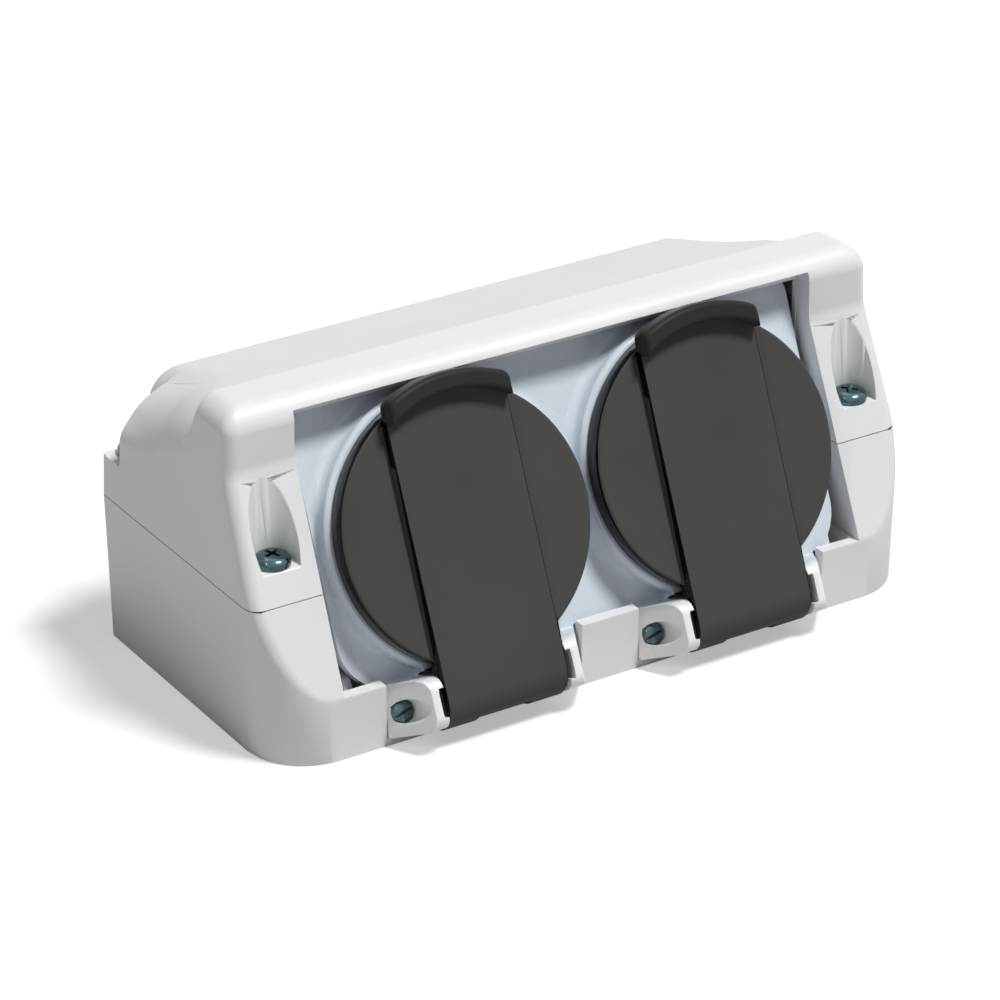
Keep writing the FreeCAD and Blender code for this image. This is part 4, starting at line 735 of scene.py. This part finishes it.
def revolved(profile: Profile, steps: int) -> bmesh.types.BMesh:
    """Closed solid of revolution about Z, from a profile that starts and ends on the axis.

    Args:
        profile: Radius and height of each point, from the foot to the top.
        steps: Number of steps round the axis.

    Returns:
        The shape, with its faces pointing outwards.
    """
    shape = bmesh.new()
    rings = []
    for radius, height in profile:
        if radius == 0.0:
            rings.append([shape.verts.new((0.0, 0.0, height))] * steps)
            continue
        turns = [2.0 * math.pi * step / steps for step in range(steps)]
        rings.append([shape.verts.new((radius * math.cos(turn), radius * math.sin(turn), height))
                      for turn in turns])
    for low, high in zip(rings, rings[1:]):
        for step in range(steps):
            other = (step + 1) % steps
            corners = [low[step], low[other], high[other], high[step]]
            kept = [corner for index, corner in enumerate(corners) if corner not in corners[:index]]
            if len(kept) > 2:
                shape.faces.new(kept)
    bmesh.ops.recalc_face_normals(shape, faces=shape.faces)
    return shape


def arc_points(centre: tuple[float, float], radius: float, start: float, end: float,
               steps: int) -> Profile:
    """Points along an arc in a profile plane.

    Args:
        centre: Middle of the arc.
        radius: Its radius.
        start: First angle in degrees.
        end: Last angle in degrees.
        steps: Number of steps.

    Returns:
        The points.
    """
    turns = [math.radians(start + (end - start) * step / steps) for step in range(steps + 1)]
    return [(centre[0] + radius * math.cos(turn), centre[1] + radius * math.sin(turn)) for turn in turns]


class NodeTree:
    """Short way to write a geometry node tree with named inputs."""

    def __init__(self, name: str) -> None:
        """Start a tree with one geometry output.

        Args:
            name: Name of the tree.
        """
        self.tree = bpy.data.node_groups.new(name, "GeometryNodeTree")
        self.tree.interface.new_socket("Geometry", in_out="OUTPUT", socket_type="NodeSocketGeometry")
        self.inlet = self.tree.nodes.new("NodeGroupInput")
        self.outlet = self.tree.nodes.new("NodeGroupOutput")
        self.keys: dict[str, str] = {}

    def size(self, name: str, kind: str = "NodeSocketFloat") -> bpy.types.NodeSocket:
        """Add a named input.

        Args:
            name: Name of the input.
            kind: Its socket type.

        Returns:
            The socket to link from.
        """
        made = self.tree.interface.new_socket(name, in_out="INPUT", socket_type=kind)
        self.keys[name] = made.identifier
        return self.inlet.outputs[name]

    def node(self, kind: str, **links: object) -> bpy.types.Node:
        """Add a node, link or set its inputs by name.

        Args:
            kind: Type of the node, without its common start.
            links: Sockets or values, with an underscore for each space in an input's name.

        Returns:
            The node.
        """
        made = self.tree.nodes.new(kind)
        for name, value in links.items():
            port = made.inputs[name.replace("_", " ")]
            if isinstance(value, bpy.types.NodeSocket):
                self.tree.links.new(value, port)
            else:
                port.default_value = value
        return made

    def maths(self, operation: str, first: object, second: object) -> bpy.types.NodeSocket:
        """Combine two numbers.

        Args:
            operation: Kind of operation.
            first: First number or socket.
            second: Second number or socket.

        Returns:
            The socket of the result.
        """
        made = self.tree.nodes.new("ShaderNodeMath")
        made.operation = operation
        for port, value in zip(made.inputs, (first, second)):
            if isinstance(value, bpy.types.NodeSocket):
                self.tree.links.new(value, port)
            else:
                port.default_value = value
        return made.outputs[0]

    def close(self, shape: bpy.types.NodeSocket) -> None:
        """End the tree with real geometry and its material.

        Args:
            shape: Socket of the geometry.
        """
        material = self.size("Finish", "NodeSocketMaterial")
        real = self.node("GeometryNodeRealizeInstances", Geometry=shape)
        dressed = self.node("GeometryNodeSetMaterial", Geometry=real.outputs[0], Material=material)
        self.tree.links.new(dressed.outputs[0], self.outlet.inputs[0])

    def run(self, values: dict[str, object]) -> bpy.types.Mesh:
        """Evaluate the tree with these inputs.

        Args:
            values: Value of each named input.

        Returns:
            The plain mesh.
        """
        carrier = bpy.data.objects.new(self.tree.name, bpy.data.meshes.new(self.tree.name))
        bpy.context.scene.collection.objects.link(carrier)
        modifier = carrier.modifiers.new("shape", "NODES")
        modifier.node_group = self.tree
        for name, value in values.items():
            modifier[self.keys[name]] = value
        return applied(carrier)


@dataclass(frozen=True)
class ShoulderForm:
    """Hollow between the hood and each rear shoulder, and the round roof corner beside each notch."""

    half_length: float = 0.0829
    lowest: float = 0.042
    dip_start: float = 0.05
    dip_fade: float = 0.008
    hood_radius: float = 0.0052
    full_round: float = 0.013
    lean: float = 0.0018
    joint: float = 0.0349
    hood_top: float = 0.075
    hood_back: float = -0.0035
    roof_step: float = 0.0014
    roof_fall: float = 0.0143
    half_depth: float = 0.0377
    shoulder: float = 0.0152
    hollow: float = 0.00672
    hollow_skew: float = 0.42
    dip: float = 0.0018
    dip_from: float = 0.0025
    dip_inner: float = 0.0635
    dip_outer: float = 0.0705
    hollow_from: float = -0.0033
    hollow_to: float = 0.014
    notch_x: float = 0.0703
    notch_y: float = 0.0293
    notch_round: float = 0.0055
    notch_run: float = 0.0035
    slice_from: float = 0.062
    slice_x: float = 0.0826
    slice_y: float = 0.0374
    slice_z: float = 0.0735
    cell: float = 0.0009
    fine_cell: float = 0.0002
    fine_cells: int = 12

    def roof(self, y: float) -> float:
        """Height of the roof at a distance behind the middle."""
        fall = (self.roof_fall - self.roof_step) / (self.half_depth - self.hood_back)
        return self.hood_top - self.roof_step - (y - self.hood_back) * fall

    def end(self, z: float) -> float:
        """Distance of the leaning end face from the middle at a height."""
        return self.half_length - self.lean * (z - self.joint) / (self.hood_top - self.joint)

    def radius(self, y: float) -> float:
        """Radius of the end round at a distance behind the middle."""
        share = (y - self.hood_back) / (self.full_round - self.hood_back)
        grown = self.hood_radius + (self.shoulder - self.hood_radius) * min(1.0, max(0.0, share))
        reach = min(1.0, max(0.0, (y - self.hollow_from) / (self.hollow_to - self.hollow_from)))
        swell = math.sin(math.pi * reach ** self.hollow_skew) ** 2
        return grown + self.hollow * swell

    def apply(self, shape: bmesh.types.BMesh) -> None:
        """Cut the shoulder region into small cells and pull it in.

        Args:
            shape: Mesh of the cover.
        """
        self.slice(shape)
        for vertex in shape.verts:
            x, y, z = abs(vertex.co.x), vertex.co.y, vertex.co.z
            if y < self.hollow_from or z < self.lowest:
                continue
            top = self.roof(y)
            radius = self.radius(y)
            x, z = pulled(x, z, self.end(top - radius), top, radius)
            if y > self.notch_y:
                notch = self.notch_round * eased((y - self.notch_y) / self.notch_run)
                x, z = pulled(x, z, self.notch_x, top, notch)
            z -= self.dip * self.sunk(x, y) * eased((z - self.dip_start) / self.dip_fade)
            vertex.co = Vector((math.copysign(x, vertex.co.x), y, z))

    def sunk(self, x: float, y: float) -> float:
        """Share of the dip of a shoulder at a place."""
        back = eased((y - self.dip_from) / (self.notch_y - self.dip_from))
        return back * eased((x - self.dip_inner) / (self.dip_outer - self.dip_inner))

    def slice(self, shape: bmesh.types.BMesh) -> None:
        """Cut the faces of the shoulders with a grid of planes.

        Args:
            shape: Mesh of the cover.
        """
        def steps(low: float, high: float) -> list[float]:
            """Evenly spaced places from low to high, about one cell apart."""
            count = round((high - low) / self.cell)
            return [low + (high - low) * step / count for step in range(count + 1)]

        fine = [self.hollow_from + self.fine_cell * step for step in range(self.fine_cells)]
        planes = []
        across, back, upward = Vector((1.0, 0.0, 0.0)), Vector((0.0, 1.0, 0.0)), Vector((0.0, 0.0, 1.0))
        for x in steps(self.slice_from, self.slice_x):
            planes += [(across * sign * x, across) for sign in (-1.0, 1.0)]
        planes += [(back * y, back) for y in fine + steps(-0.001, self.slice_y)]
        planes.append((back * (self.notch_y + 0.00025), back))
        planes += [(upward * z, upward) for z in steps(self.lowest, self.slice_z)]
        for point, normal in planes:
            faces = [face for face in shape.faces if self.inside(face)]
            edges = dict.fromkeys(edge for face in faces for edge in face.edges)
            corners = dict.fromkeys(corner for face in faces for corner in face.verts)
            bmesh.ops.bisect_plane(shape, geom=[*faces, *edges, *corners], dist=1e-7, plane_co=point,
                                   plane_no=normal)

    def inside(self, face: bmesh.types.BMFace) -> bool:
        """Tell whether a face is an outer face of a shoulder."""
        centre = face.calc_center_bounds()
        if max(abs(corner.co.x) for corner in face.verts) < self.slice_from + 1e-5:
            return False
        return centre.z > self.joint and centre.y > self.hood_back - 0.002 and face.normal.dot(
            Vector((centre.x, 0.0, 0.03))) > 0.0


def eased(share: float) -> float:
    """Smooth step from 0 to 1."""
    held = min(1.0, max(0.0, share))
    return held * held * (3.0 - 2.0 * held)


def pulled(x: float, z: float, end: float, top: float, radius: float) -> tuple[float, float]:
    """Point pulled on to a round at a convex corner.

    Args:
        x: Distance of the point from the middle.
        z: Height of the point.
        end: Distance of the end face from the middle.
        top: Height of the top.
        radius: Radius of the round.

    Returns:
        The new distance and height.
    """
    across, above = x - (end - radius), z - (top - radius)
    reach = math.hypot(across, above)
    if across <= 0.0 or above <= 0.0 or reach <= radius:
        return x, z
    return end - radius + across * radius / reach, top - radius + above * radius / reach


@dataclass
class Housing:
    """Base box and front cover with softly rounded edges."""

    shop: Workshop
    base_round: float = 0.00042
    cover_round: float = 0.0003

    def build(self) -> None:
        """Round and dress both halves."""
        base = self.shop.softened("base_box", self.base_round)
        self.shop.add("base_shell", base, "grey_shell", Body.HOUSING, ("base_box",))
        cover = self.shop.softened("front_cover", self.cover_round, form=ShoulderForm().apply)
        self.shop.add("cover_shell", cover, "white_shell", Body.HOUSING, ("front_cover",))


@dataclass
class SocketPlate:
    """White plate with its collars, and the soft blend round the foot of each collar."""

    shop: Workshop
    unit: UnitFrame
    edge_round: float = 0.0002
    collar_radius: float = 0.0313
    blend: float = 0.0024
    face: float = -0.0044
    end_x: float = 0.0635
    sweep: float = 138.0
    steps: int = 180
    sink: float = 0.0001

    def build(self) -> None:
        """Round the plate and lay the blends."""
        plate = self.shop.softened("socket_plate", self.edge_round)
        self.shop.add("plate_shell", plate, "white_plate", Body.HOUSING, ("socket_plate",))
        for side in Side:
            blend = self.collar_blend(side)
            self.shop.add("collar_blend_" + side.value, blend, "white_plate", Body.HOUSING)

    def collar_blend(self, side: Side) -> bpy.types.Mesh:
        """Concave strip from the side of the collar to the face of the plate.

        Args:
            side: Which socket.

        Returns:
            The mesh of the strip.
        """
        shape = bmesh.new()
        rows = []
        for step in range(self.steps + 1):
            turn = math.radians(self.sweep * (2.0 * step / self.steps - 1.0))
            fade = min(1.0, (1.0 - abs(2.0 * step / self.steps - 1.0)) * 12.0)
            reach = self.blend * math.sin(fade * math.pi / 2.0)
            across = abs(math.sin(turn))
            outward = math.copysign(1.0, math.sin(turn)) == side.sign
            if outward and across > 0.5:
                room = (self.end_x - self.unit.half_pitch) / across - self.collar_radius
                reach = max(0.0002, min(reach, room))
            reach = max(reach, 0.0002)
            row = self.section(reach)
            rows.append([shape.verts.new((radius * math.sin(turn), radius * math.cos(turn), height))
                         for radius, height in row])
        for first, second in zip(rows, rows[1:]):
            for index in range(len(first)):
                other = (index + 1) % len(first)
                shape.faces.new((first[index], second[index], second[other], first[other]))
        shape.faces.new(rows[0])
        shape.faces.new(list(reversed(rows[-1])))
        bmesh.ops.recalc_face_normals(shape, faces=shape.faces)
        shape.transform(self.unit.matrix(side, self.unit.lid_centre))
        mesh = mesh_of(shape, "collar_blend")
        mesh.set_sharp_from_angle(angle=math.radians(50.0))
        return mesh

    def section(self, reach: float) -> Profile:
        """Closed section of the strip for a reach.

        Args:
            reach: Radius of the concave round.

        Returns:
            Radius and height of each point.
        """
        wall = self.collar_radius
        curve = arc_points((wall + reach, self.face + reach), reach, 180.0, 270.0, 8)
        inside = [(wall - self.sink, self.face - self.sink), (wall - self.sink, self.face + reach)]
        return inside + curve + [(wall + reach, self.face - self.sink)]


@dataclass
class Lid:
    """Charcoal lid with rounded edges and moulded ribs on its inside."""

    shop: Workshop
    unit: UnitFrame
    side: Side
    edge_round: float = 0.0003
    rib_count: int = 12
    rib_inner: float = 0.0055
    rib_outer: float = 0.0226
    rib_thickness: float = 0.0011
    rib_height: float = 0.0011
    underside: float = 0.0025
    boss_radius: float = 0.0062

    def build(self) -> None:
        """Round the lid and set its ribs."""
        name = "lid_" + self.side.value
        cap = self.shop.softened(name, self.edge_round)
        self.shop.add("cap_" + self.side.value, cap, "dark_lid", self.side.lid_body, (name,))
        ribs = self.ribs()
        below = Matrix.Translation((0.0, 0.0, self.underside))
        ribs.transform(self.unit.matrix(self.side, self.unit.lid_centre) @ below)
        self.shop.add("lid_ribs_" + self.side.value, ribs, "dark_lid", self.side.lid_body)

    def ribs(self) -> bpy.types.Mesh:
        """Ring of tapered ribs below the underside, round a flat boss."""
        tree = NodeTree("lid_ribs")
        count = tree.size("Count", "NodeSocketInt")
        inner, outer = tree.size("Inner radius"), tree.size("Outer radius")
        thick, high = tree.size("Thickness"), tree.size("Height")
        boss = tree.size("Boss radius")
        middle = tree.maths("MULTIPLY", tree.maths("ADD", inner, outer), 0.5)
        ring = tree.node("GeometryNodeMeshCircle", Vertices=count, Radius=middle)
        box = tree.node("ShaderNodeCombineXYZ", X=tree.maths("SUBTRACT", outer, inner), Y=thick, Z=high)
        cube = tree.node("GeometryNodeMeshCube", Size=box.outputs[0])
        spot = tree.node("GeometryNodeInputPosition").outputs[0]
        place = tree.node("ShaderNodeSeparateXYZ", Vector=spot)
        low = tree.maths("LESS_THAN", place.outputs["Z"], 0.0)
        lean = tree.node("ShaderNodeCombineXYZ", X=tree.maths("MULTIPLY", place.outputs["X"], -0.06),
                         Y=tree.maths("MULTIPLY", place.outputs["Y"], -0.35))
        tapered = tree.node("GeometryNodeSetPosition", Geometry=cube.outputs["Mesh"], Selection=low,
                            Offset=lean.outputs[0])
        index = tree.node("GeometryNodeInputIndex").outputs[0]
        angle = tree.maths("DIVIDE", tree.maths("MULTIPLY", index, 2.0 * math.pi), count)
        turn = tree.node("ShaderNodeCombineXYZ", Z=angle)
        ribs = tree.node("GeometryNodeInstanceOnPoints", Points=ring.outputs[0],
                         Instance=tapered.outputs[0], Rotation=turn.outputs[0])
        disc = tree.node("GeometryNodeMeshCylinder", Vertices=48, Radius=boss, Depth=high)
        both = tree.node("GeometryNodeJoinGeometry")
        tree.tree.links.new(ribs.outputs[0], both.inputs[0])
        tree.tree.links.new(disc.outputs["Mesh"], both.inputs[0])
        shift = tree.node("ShaderNodeCombineXYZ", Z=tree.maths("MULTIPLY", high, -0.5))
        moved = tree.node("GeometryNodeTransform", Geometry=both.outputs[0], Translation=shift.outputs[0])
        tree.close(moved.outputs[0])
        mesh = tree.run({
            "Count": self.rib_count,
            "Inner radius": self.rib_inner,
            "Outer radius": self.rib_outer,
            "Thickness": self.rib_thickness,
            "Height": self.rib_height,
            "Boss radius": self.boss_radius,
            "Finish": self.shop.finishes["dark_lid"],
        })
        mesh.set_sharp_from_angle(angle=math.radians(30.0))
        return mesh


@dataclass
class ScrewShape:
    """Pan-head screw with a ridged shank, drawn with its seat at the origin."""

    head_radius: float
    head_height: float
    shank_radius: float
    shank_length: float
    drive_arm: float
    drive_width: float
    drive_depth: float
    cross: bool
    thread_pitch: float = 0.0012
    thread_depth: float = 0.00022

    def profile(self) -> Profile:
        """Outline from the tip of the shank to the top of the head."""
        tip = -self.shank_length
        points: Profile = [(0.0, tip), (self.shank_radius * 0.45, tip)]
        height = tip + self.shank_radius
        while height < -self.thread_pitch * 2.5:
            points += [(self.shank_radius, height),
                       (self.shank_radius, height + self.thread_pitch * 0.15),
                       (self.shank_radius - self.thread_depth, height + self.thread_pitch * 0.5)]
            height += self.thread_pitch
        under = self.head_radius * 0.93
        brim = self.head_height * 0.45
        points += [(self.shank_radius, height), (self.shank_radius, 0.0), (under, 0.0)]
        points += [(self.head_radius, self.head_height * 0.08), (self.head_radius, brim)]
        for step in range(1, 9):
            turn = math.radians(90.0 * step / 9.0)
            points.append((self.head_radius * (0.42 + 0.58 * math.cos(turn)),
                           brim + self.head_height * 0.55 * math.sin(turn)))
        points.append((0.0, self.head_height))
        return points

    def mesh(self, name: str) -> bpy.types.Mesh:
        """Screw with its drive recess cut in.

        Args:
            name: Name of the mesh.

        Returns:
            The mesh.
        """
        blank = bpy.data.objects.new(name, mesh_of(revolved(self.profile(), 64), name))
        bpy.context.scene.collection.objects.link(blank)
        cutters = [self.cutter(0.0)] + ([self.cutter(math.pi / 2.0)] if self.cross else [])
        for cutter in cutters:
            cut = blank.modifiers.new("recess", "BOOLEAN")
            cut.operation = "DIFFERENCE"
            cut.solver = "EXACT"
            cut.object = cutter
        mesh = applied(blank)
        for cutter in cutters:
            bpy.data.objects.remove(cutter)
        mesh.shade_smooth()
        mesh.set_sharp_from_angle(angle=math.radians(34.0))
        return mesh

    def cutter(self, turn: float) -> bpy.types.Object:
        """Tapered bar that cuts one arm of the recess.

        Args:
            turn: Turn about the screw axis.

        Returns:
            The cutter.
        """
        reach = self.drive_arm
        low, high = self.head_height - self.drive_depth, self.head_height * 1.4
        shape = bmesh.new()
        half = self.drive_width / 2.0
        rows = []
        foot = reach * (0.55 if self.cross else 1.0)
        for level, arm, side in ((low, foot, half * 0.8), (high, reach * 1.25, half * 1.15)):
            outline = ((-arm, -side), (arm, -side), (arm, side), (-arm, side))
            rows.append([shape.verts.new((x, y, level)) for x, y in outline])
        shape.faces.new(rows[0])
        shape.faces.new(rows[1])
        for index in range(4):
            other = (index + 1) % 4
            shape.faces.new((rows[0][index], rows[0][other], rows[1][other], rows[1][index]))
        bmesh.ops.recalc_face_normals(shape, faces=shape.faces)
        shape.transform(Matrix.Rotation(turn, 4, "Z"))
        cutter = bpy.data.objects.new("cutter", mesh_of(shape, "cutter"))
        bpy.context.scene.collection.objects.link(cutter)
        return cutter


@dataclass
class ScrewSet:
    """The same screw at several places, set out by a node tree."""

    shop: Workshop
    name: str
    shape: ScrewShape
    places: list[tuple[float, float, float]]
    replaced: tuple[str, ...]
    frame: Matrix = field(default_factory=Matrix)
    turn: float = 0.0

    def build(self) -> None:
        """Set the screws and dress them."""
        pattern = bpy.data.objects.new("pattern", self.shape.mesh("pattern"))
        bpy.context.scene.collection.objects.link(pattern)
        tree = NodeTree(self.name)
        source = tree.size("Screw", "NodeSocketObject")
        turn = tree.size("Turn")
        screw = tree.node("GeometryNodeObjectInfo", Object=source)
        joined = tree.node("GeometryNodeJoinGeometry")
        for place in reversed(self.places):
            point = tree.node("GeometryNodePoints", Position=place)
            tree.tree.links.new(point.outputs[0], joined.inputs[0])
        index = tree.node("GeometryNodeInputIndex").outputs[0]
        angle = tree.maths("MULTIPLY", tree.maths("ADD", index, 1.0), turn)
        spin = tree.node("ShaderNodeCombineXYZ", Z=angle)
        placed = tree.node("GeometryNodeInstanceOnPoints", Points=joined.outputs[0],
                           Instance=screw.outputs["Geometry"], Rotation=spin.outputs[0])
        tree.close(placed.outputs[0])
        mesh = tree.run({"Screw": pattern, "Turn": self.turn, "Finish": self.shop.finishes["zinc_screw"]})
        bpy.data.objects.remove(pattern)
        mesh.transform(self.frame)
        self.shop.add(self.name, mesh, "zinc_screw", Body.HOUSING, self.replaced)


@dataclass
class Fasteners:
    """Cover screws in the housing and fixing screws in the hinge ears."""

    shop: Workshop
    unit: UnitFrame
    front_x: float = 0.0739
    front_y: float = -0.0219
    front_seat: float = 0.0412934
    rear_x: float = 0.0762
    rear_y: float = 0.0334
    rear_seat: float = 0.0444994
    joint: float = 0.0349
    bite: float = 0.016
    fix_x: float = -0.0213
    fix_s: float = -0.0005
    fix_seat: float = -0.0029
    fix_tip: float = -0.0128

    def build(self) -> None:
        """Build every screw."""
        rows = (("front", self.front_x, self.front_y, self.front_seat, 0.35),
                ("rear", self.rear_x, self.rear_y, self.rear_seat, -0.5))
        for row, x, y, seat, turn in rows:
            shape = ScrewShape(head_radius=0.00395, head_height=0.0026, shank_radius=0.0019,
                               shank_length=seat - self.joint + self.bite, drive_arm=0.0021,
                               drive_width=0.0009, drive_depth=0.0014, cross=True)
            nodes = tuple("cover_screw_%s_%s" % (row, side.value) for side in Side)
            places = [(side.sign * x, y, seat) for side in Side]
            ScrewSet(self.shop, "cover_screws_" + row, shape, places, nodes, turn=turn).build()
        for side in Side:
            shape = ScrewShape(head_radius=0.00245, head_height=0.0019, shank_radius=0.0014,
                               shank_length=self.fix_seat - self.fix_tip, drive_arm=0.003,
                               drive_width=0.0007, drive_depth=0.0011, cross=False)
            place = (self.fix_x, self.fix_s, self.fix_seat)
            ScrewSet(self.shop, "ear_screw_" + side.value, shape, [place],
                     ("fixing_screw_" + side.value,), self.unit.matrix(side), 0.25).build()


@dataclass
class HingeSpring:
    """Round-wire torsion spring on the hinge pin of one lid."""

    shop: Workshop
    unit: UnitFrame
    side: Side
    coil_radius: float = 0.0022
    wire_radius: float = 0.0004
    coil_pitch: float = 0.0015
    turns: float = 5.0
    rest_leg: float = 0.0058
    push_leg: float = 0.0028

    def build(self) -> None:
        """Wind the spring and dress it."""
        tree = NodeTree("hinge_spring")
        radius, wire = tree.size("Coil radius"), tree.size("Wire radius")
        pitch, turns = tree.size("Pitch"), tree.size("Turns")
        rest, push = tree.size("Rest leg"), tree.size("Push leg")
        length = tree.maths("MULTIPLY", pitch, turns)
        coil = tree.node("GeometryNodeCurveSpiral", Resolution=36, Rotations=turns, Start_Radius=radius,
                         End_Radius=radius, Height=length)
        lines = tree.node("GeometryNodeJoinGeometry")
        for height, reach, sign in ((0.0, rest, -1.0), (length, push, 1.0)):
            start = tree.node("ShaderNodeCombineXYZ", X=radius, Z=height)
            far = tree.maths("MULTIPLY", reach, sign)
            end = tree.node("ShaderNodeCombineXYZ", X=radius, Y=far, Z=height)
            leg = tree.node("GeometryNodeCurvePrimitiveLine", Start=start.outputs[0], End=end.outputs[0])
            tree.tree.links.new(leg.outputs[0], lines.inputs[0])
        tree.tree.links.new(coil.outputs[0], lines.inputs[0])
        section = tree.node("GeometryNodeCurvePrimitiveCircle", Resolution=12, Radius=wire)
        tube = tree.node("GeometryNodeCurveToMesh", Curve=lines.outputs[0],
                         Profile_Curve=section.outputs[0], Fill_Caps=True)
        tree.close(tube.outputs[0])
        mesh = tree.run({
            "Coil radius": self.coil_radius,
            "Wire radius": self.wire_radius,
            "Pitch": self.coil_pitch,
            "Turns": self.turns,
            "Rest leg": self.rest_leg,
            "Push leg": self.push_leg,
            "Finish": self.shop.finishes["stainless"],
        })
        mesh.shade_smooth()
        start = -self.coil_pitch * self.turns / 2.0
        along = Matrix(((0, 0, 1, start), (1, 0, 0, 0), (0, 1, 0, 0), (0, 0, 0, 1)))
        mesh.transform(self.unit.matrix(self.side) @ along)
        name = "lid_spring_" + self.side.value
        self.shop.add("spring_" + self.side.value, mesh, "stainless", Body.HOUSING, (name,))


@dataclass
class Insert:
    """Dark plug well of one socket."""

    shop: Workshop
    side: Side
    edge_round: float = 0.0002

    def build(self) -> None:
        """Round the well and dress it."""
        name = "socket_insert_" + self.side.value
        well = self.shop.softened(name, self.edge_round)
        self.shop.add("plug_well_" + self.side.value, well, "dark_insert", Body.HOUSING, (name,))


@dataclass
class Studio:
    """Pale floor, soft lights and the camera at the photo's angle."""

    eye: Vector = field(default_factory=lambda: Vector((-0.4661, -0.7301, 0.46735)))
    target: Vector = field(default_factory=lambda: Vector((0.00278, 0.011247, 0.021058)))
    lens: float = 158.9
    sensor: float = 36.0
    floor_half: float = 4.0
    floor_colour: Colour = (0.62, 0.62, 0.62)
    floor_glow: float = 0.42
    sky: float = 0.11

    def build(self) -> None:
        """Make floor, world, lights and camera."""
        self.floor()
        self.world()
        self.sun("key", Vector((0.3, -0.35, 1.0)), 3.0, 14.0)
        self.sun("rim", Vector((-0.69, -0.21, 0.7)), 0.22, 2.5)
        self.camera()

    def floor(self) -> None:
        """Make the pale floor just under the object, white to the camera where it is lit."""
        half = self.floor_half
        mesh = bpy.data.meshes.new("floor")
        corners = [(-half, -half, 0.0), (half, -half, 0.0), (half, half, 0.0), (-half, half, 0.0)]
        mesh.from_pydata(corners, [], [(0, 1, 2, 3)])
        floor = bpy.data.objects.new("floor", mesh)
        bpy.context.scene.collection.objects.link(floor)
        graph = ShaderGraph("floor")
        colour = graph.blend(graph.noise(6.0, 2.0), self.floor_colour, shade(self.floor_colour, 1.03))
        graph.feed("Base Color", colour)
        graph.put("Roughness", 0.9)
        graph.put("Specular IOR Level", 0.1)
        graph.put("Emission Color", (1.0, 1.0, 1.0, 1.0))
        path = graph.nodes.new("ShaderNodeLightPath")
        glow = graph.nodes.new("ShaderNodeMath")
        glow.operation = "MULTIPLY"
        glow.inputs[1].default_value = self.floor_glow
        graph.links.new(path.outputs["Is Camera Ray"], glow.inputs[0])
        graph.feed("Emission Strength", glow.outputs[0])
        mesh.materials.append(graph.material)

    def world(self) -> None:
        """Light everything a little, and show white to the camera and in gloss and glass."""
        world = bpy.data.worlds.new("studio")
        world.use_nodes = True
        nodes, links = world.node_tree.nodes, world.node_tree.links
        nodes.clear()
        seen = nodes.new("ShaderNodeBackground")
        seen.inputs["Color"].default_value = (1.0, 1.0, 1.0, 1.0)
        felt = nodes.new("ShaderNodeBackground")
        felt.inputs["Color"].default_value = (0.96, 0.98, 1.0, 1.0)
        felt.inputs["Strength"].default_value = self.sky
        path = nodes.new("ShaderNodeLightPath")
        total = path.outputs["Is Camera Ray"]
        for name in ("Is Glossy Ray", "Is Transmission Ray"):
            both = nodes.new("ShaderNodeMath")
            both.operation = "MAXIMUM"
            links.new(total, both.inputs[0])
            links.new(path.outputs[name], both.inputs[1])
            total = both.outputs[0]
        mix = nodes.new("ShaderNodeMixShader")
        output = nodes.new("ShaderNodeOutputWorld")
        links.new(total, mix.inputs["Fac"])
        links.new(felt.outputs["Background"], mix.inputs[1])
        links.new(seen.outputs["Background"], mix.inputs[2])
        links.new(mix.outputs["Shader"], output.inputs["Surface"])
        bpy.context.scene.world = world

    def sun(self, name: str, source: Vector, strength: float, spread: float) -> None:
        """Make a soft distant light.

        Args:
            name: Name of the light.
            source: Direction that the light comes from.
            strength: Irradiance of the light.
            spread: Apparent size of the light in degrees.
        """
        lamp = bpy.data.lights.new(name, "SUN")
        lamp.energy = strength
        lamp.angle = math.radians(spread)
        light = bpy.data.objects.new(name, lamp)
        light.rotation_euler = source.to_track_quat("Z", "Y").to_euler()
        bpy.context.scene.collection.objects.link(light)

    def camera(self) -> None:
        """Make the camera at the photo's viewing angle."""
        data = bpy.data.cameras.new("camera")
        data.lens = self.lens
        data.sensor_width = self.sensor
        data.clip_end = 50.0
        camera = bpy.data.objects.new("camera", data)
        camera.location = self.eye
        camera.rotation_euler = (self.target - self.eye).to_track_quat("-Z", "Y").to_euler()
        bpy.context.scene.collection.objects.link(camera)
        bpy.context.scene.camera = camera
        bpy.context.scene.view_settings.view_transform = "Standard"


def corners(box: tuple[Vector, Vector]) -> list[list[float]]:
    """Box corners as plain lists."""
    return [list(map(float, corner)) for corner in box]


def main() -> None:
    """Build the looks in order and report each part."""
    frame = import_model()
    Studio().build()
    log.info("studio ready")
    shop = Workshop(frame)
    log.info("dressed %d nodes", len(frame["nodes"]))
    unit = UnitFrame()
    Housing(shop).build()
    SocketPlate(shop, unit).build()
    for side in Side:
        Lid(shop, unit, side).build()
        HingeSpring(shop, unit, side).build()
        Insert(shop, side).build()
    Fasteners(shop, unit).build()


if __name__ == "__main__":
    main()
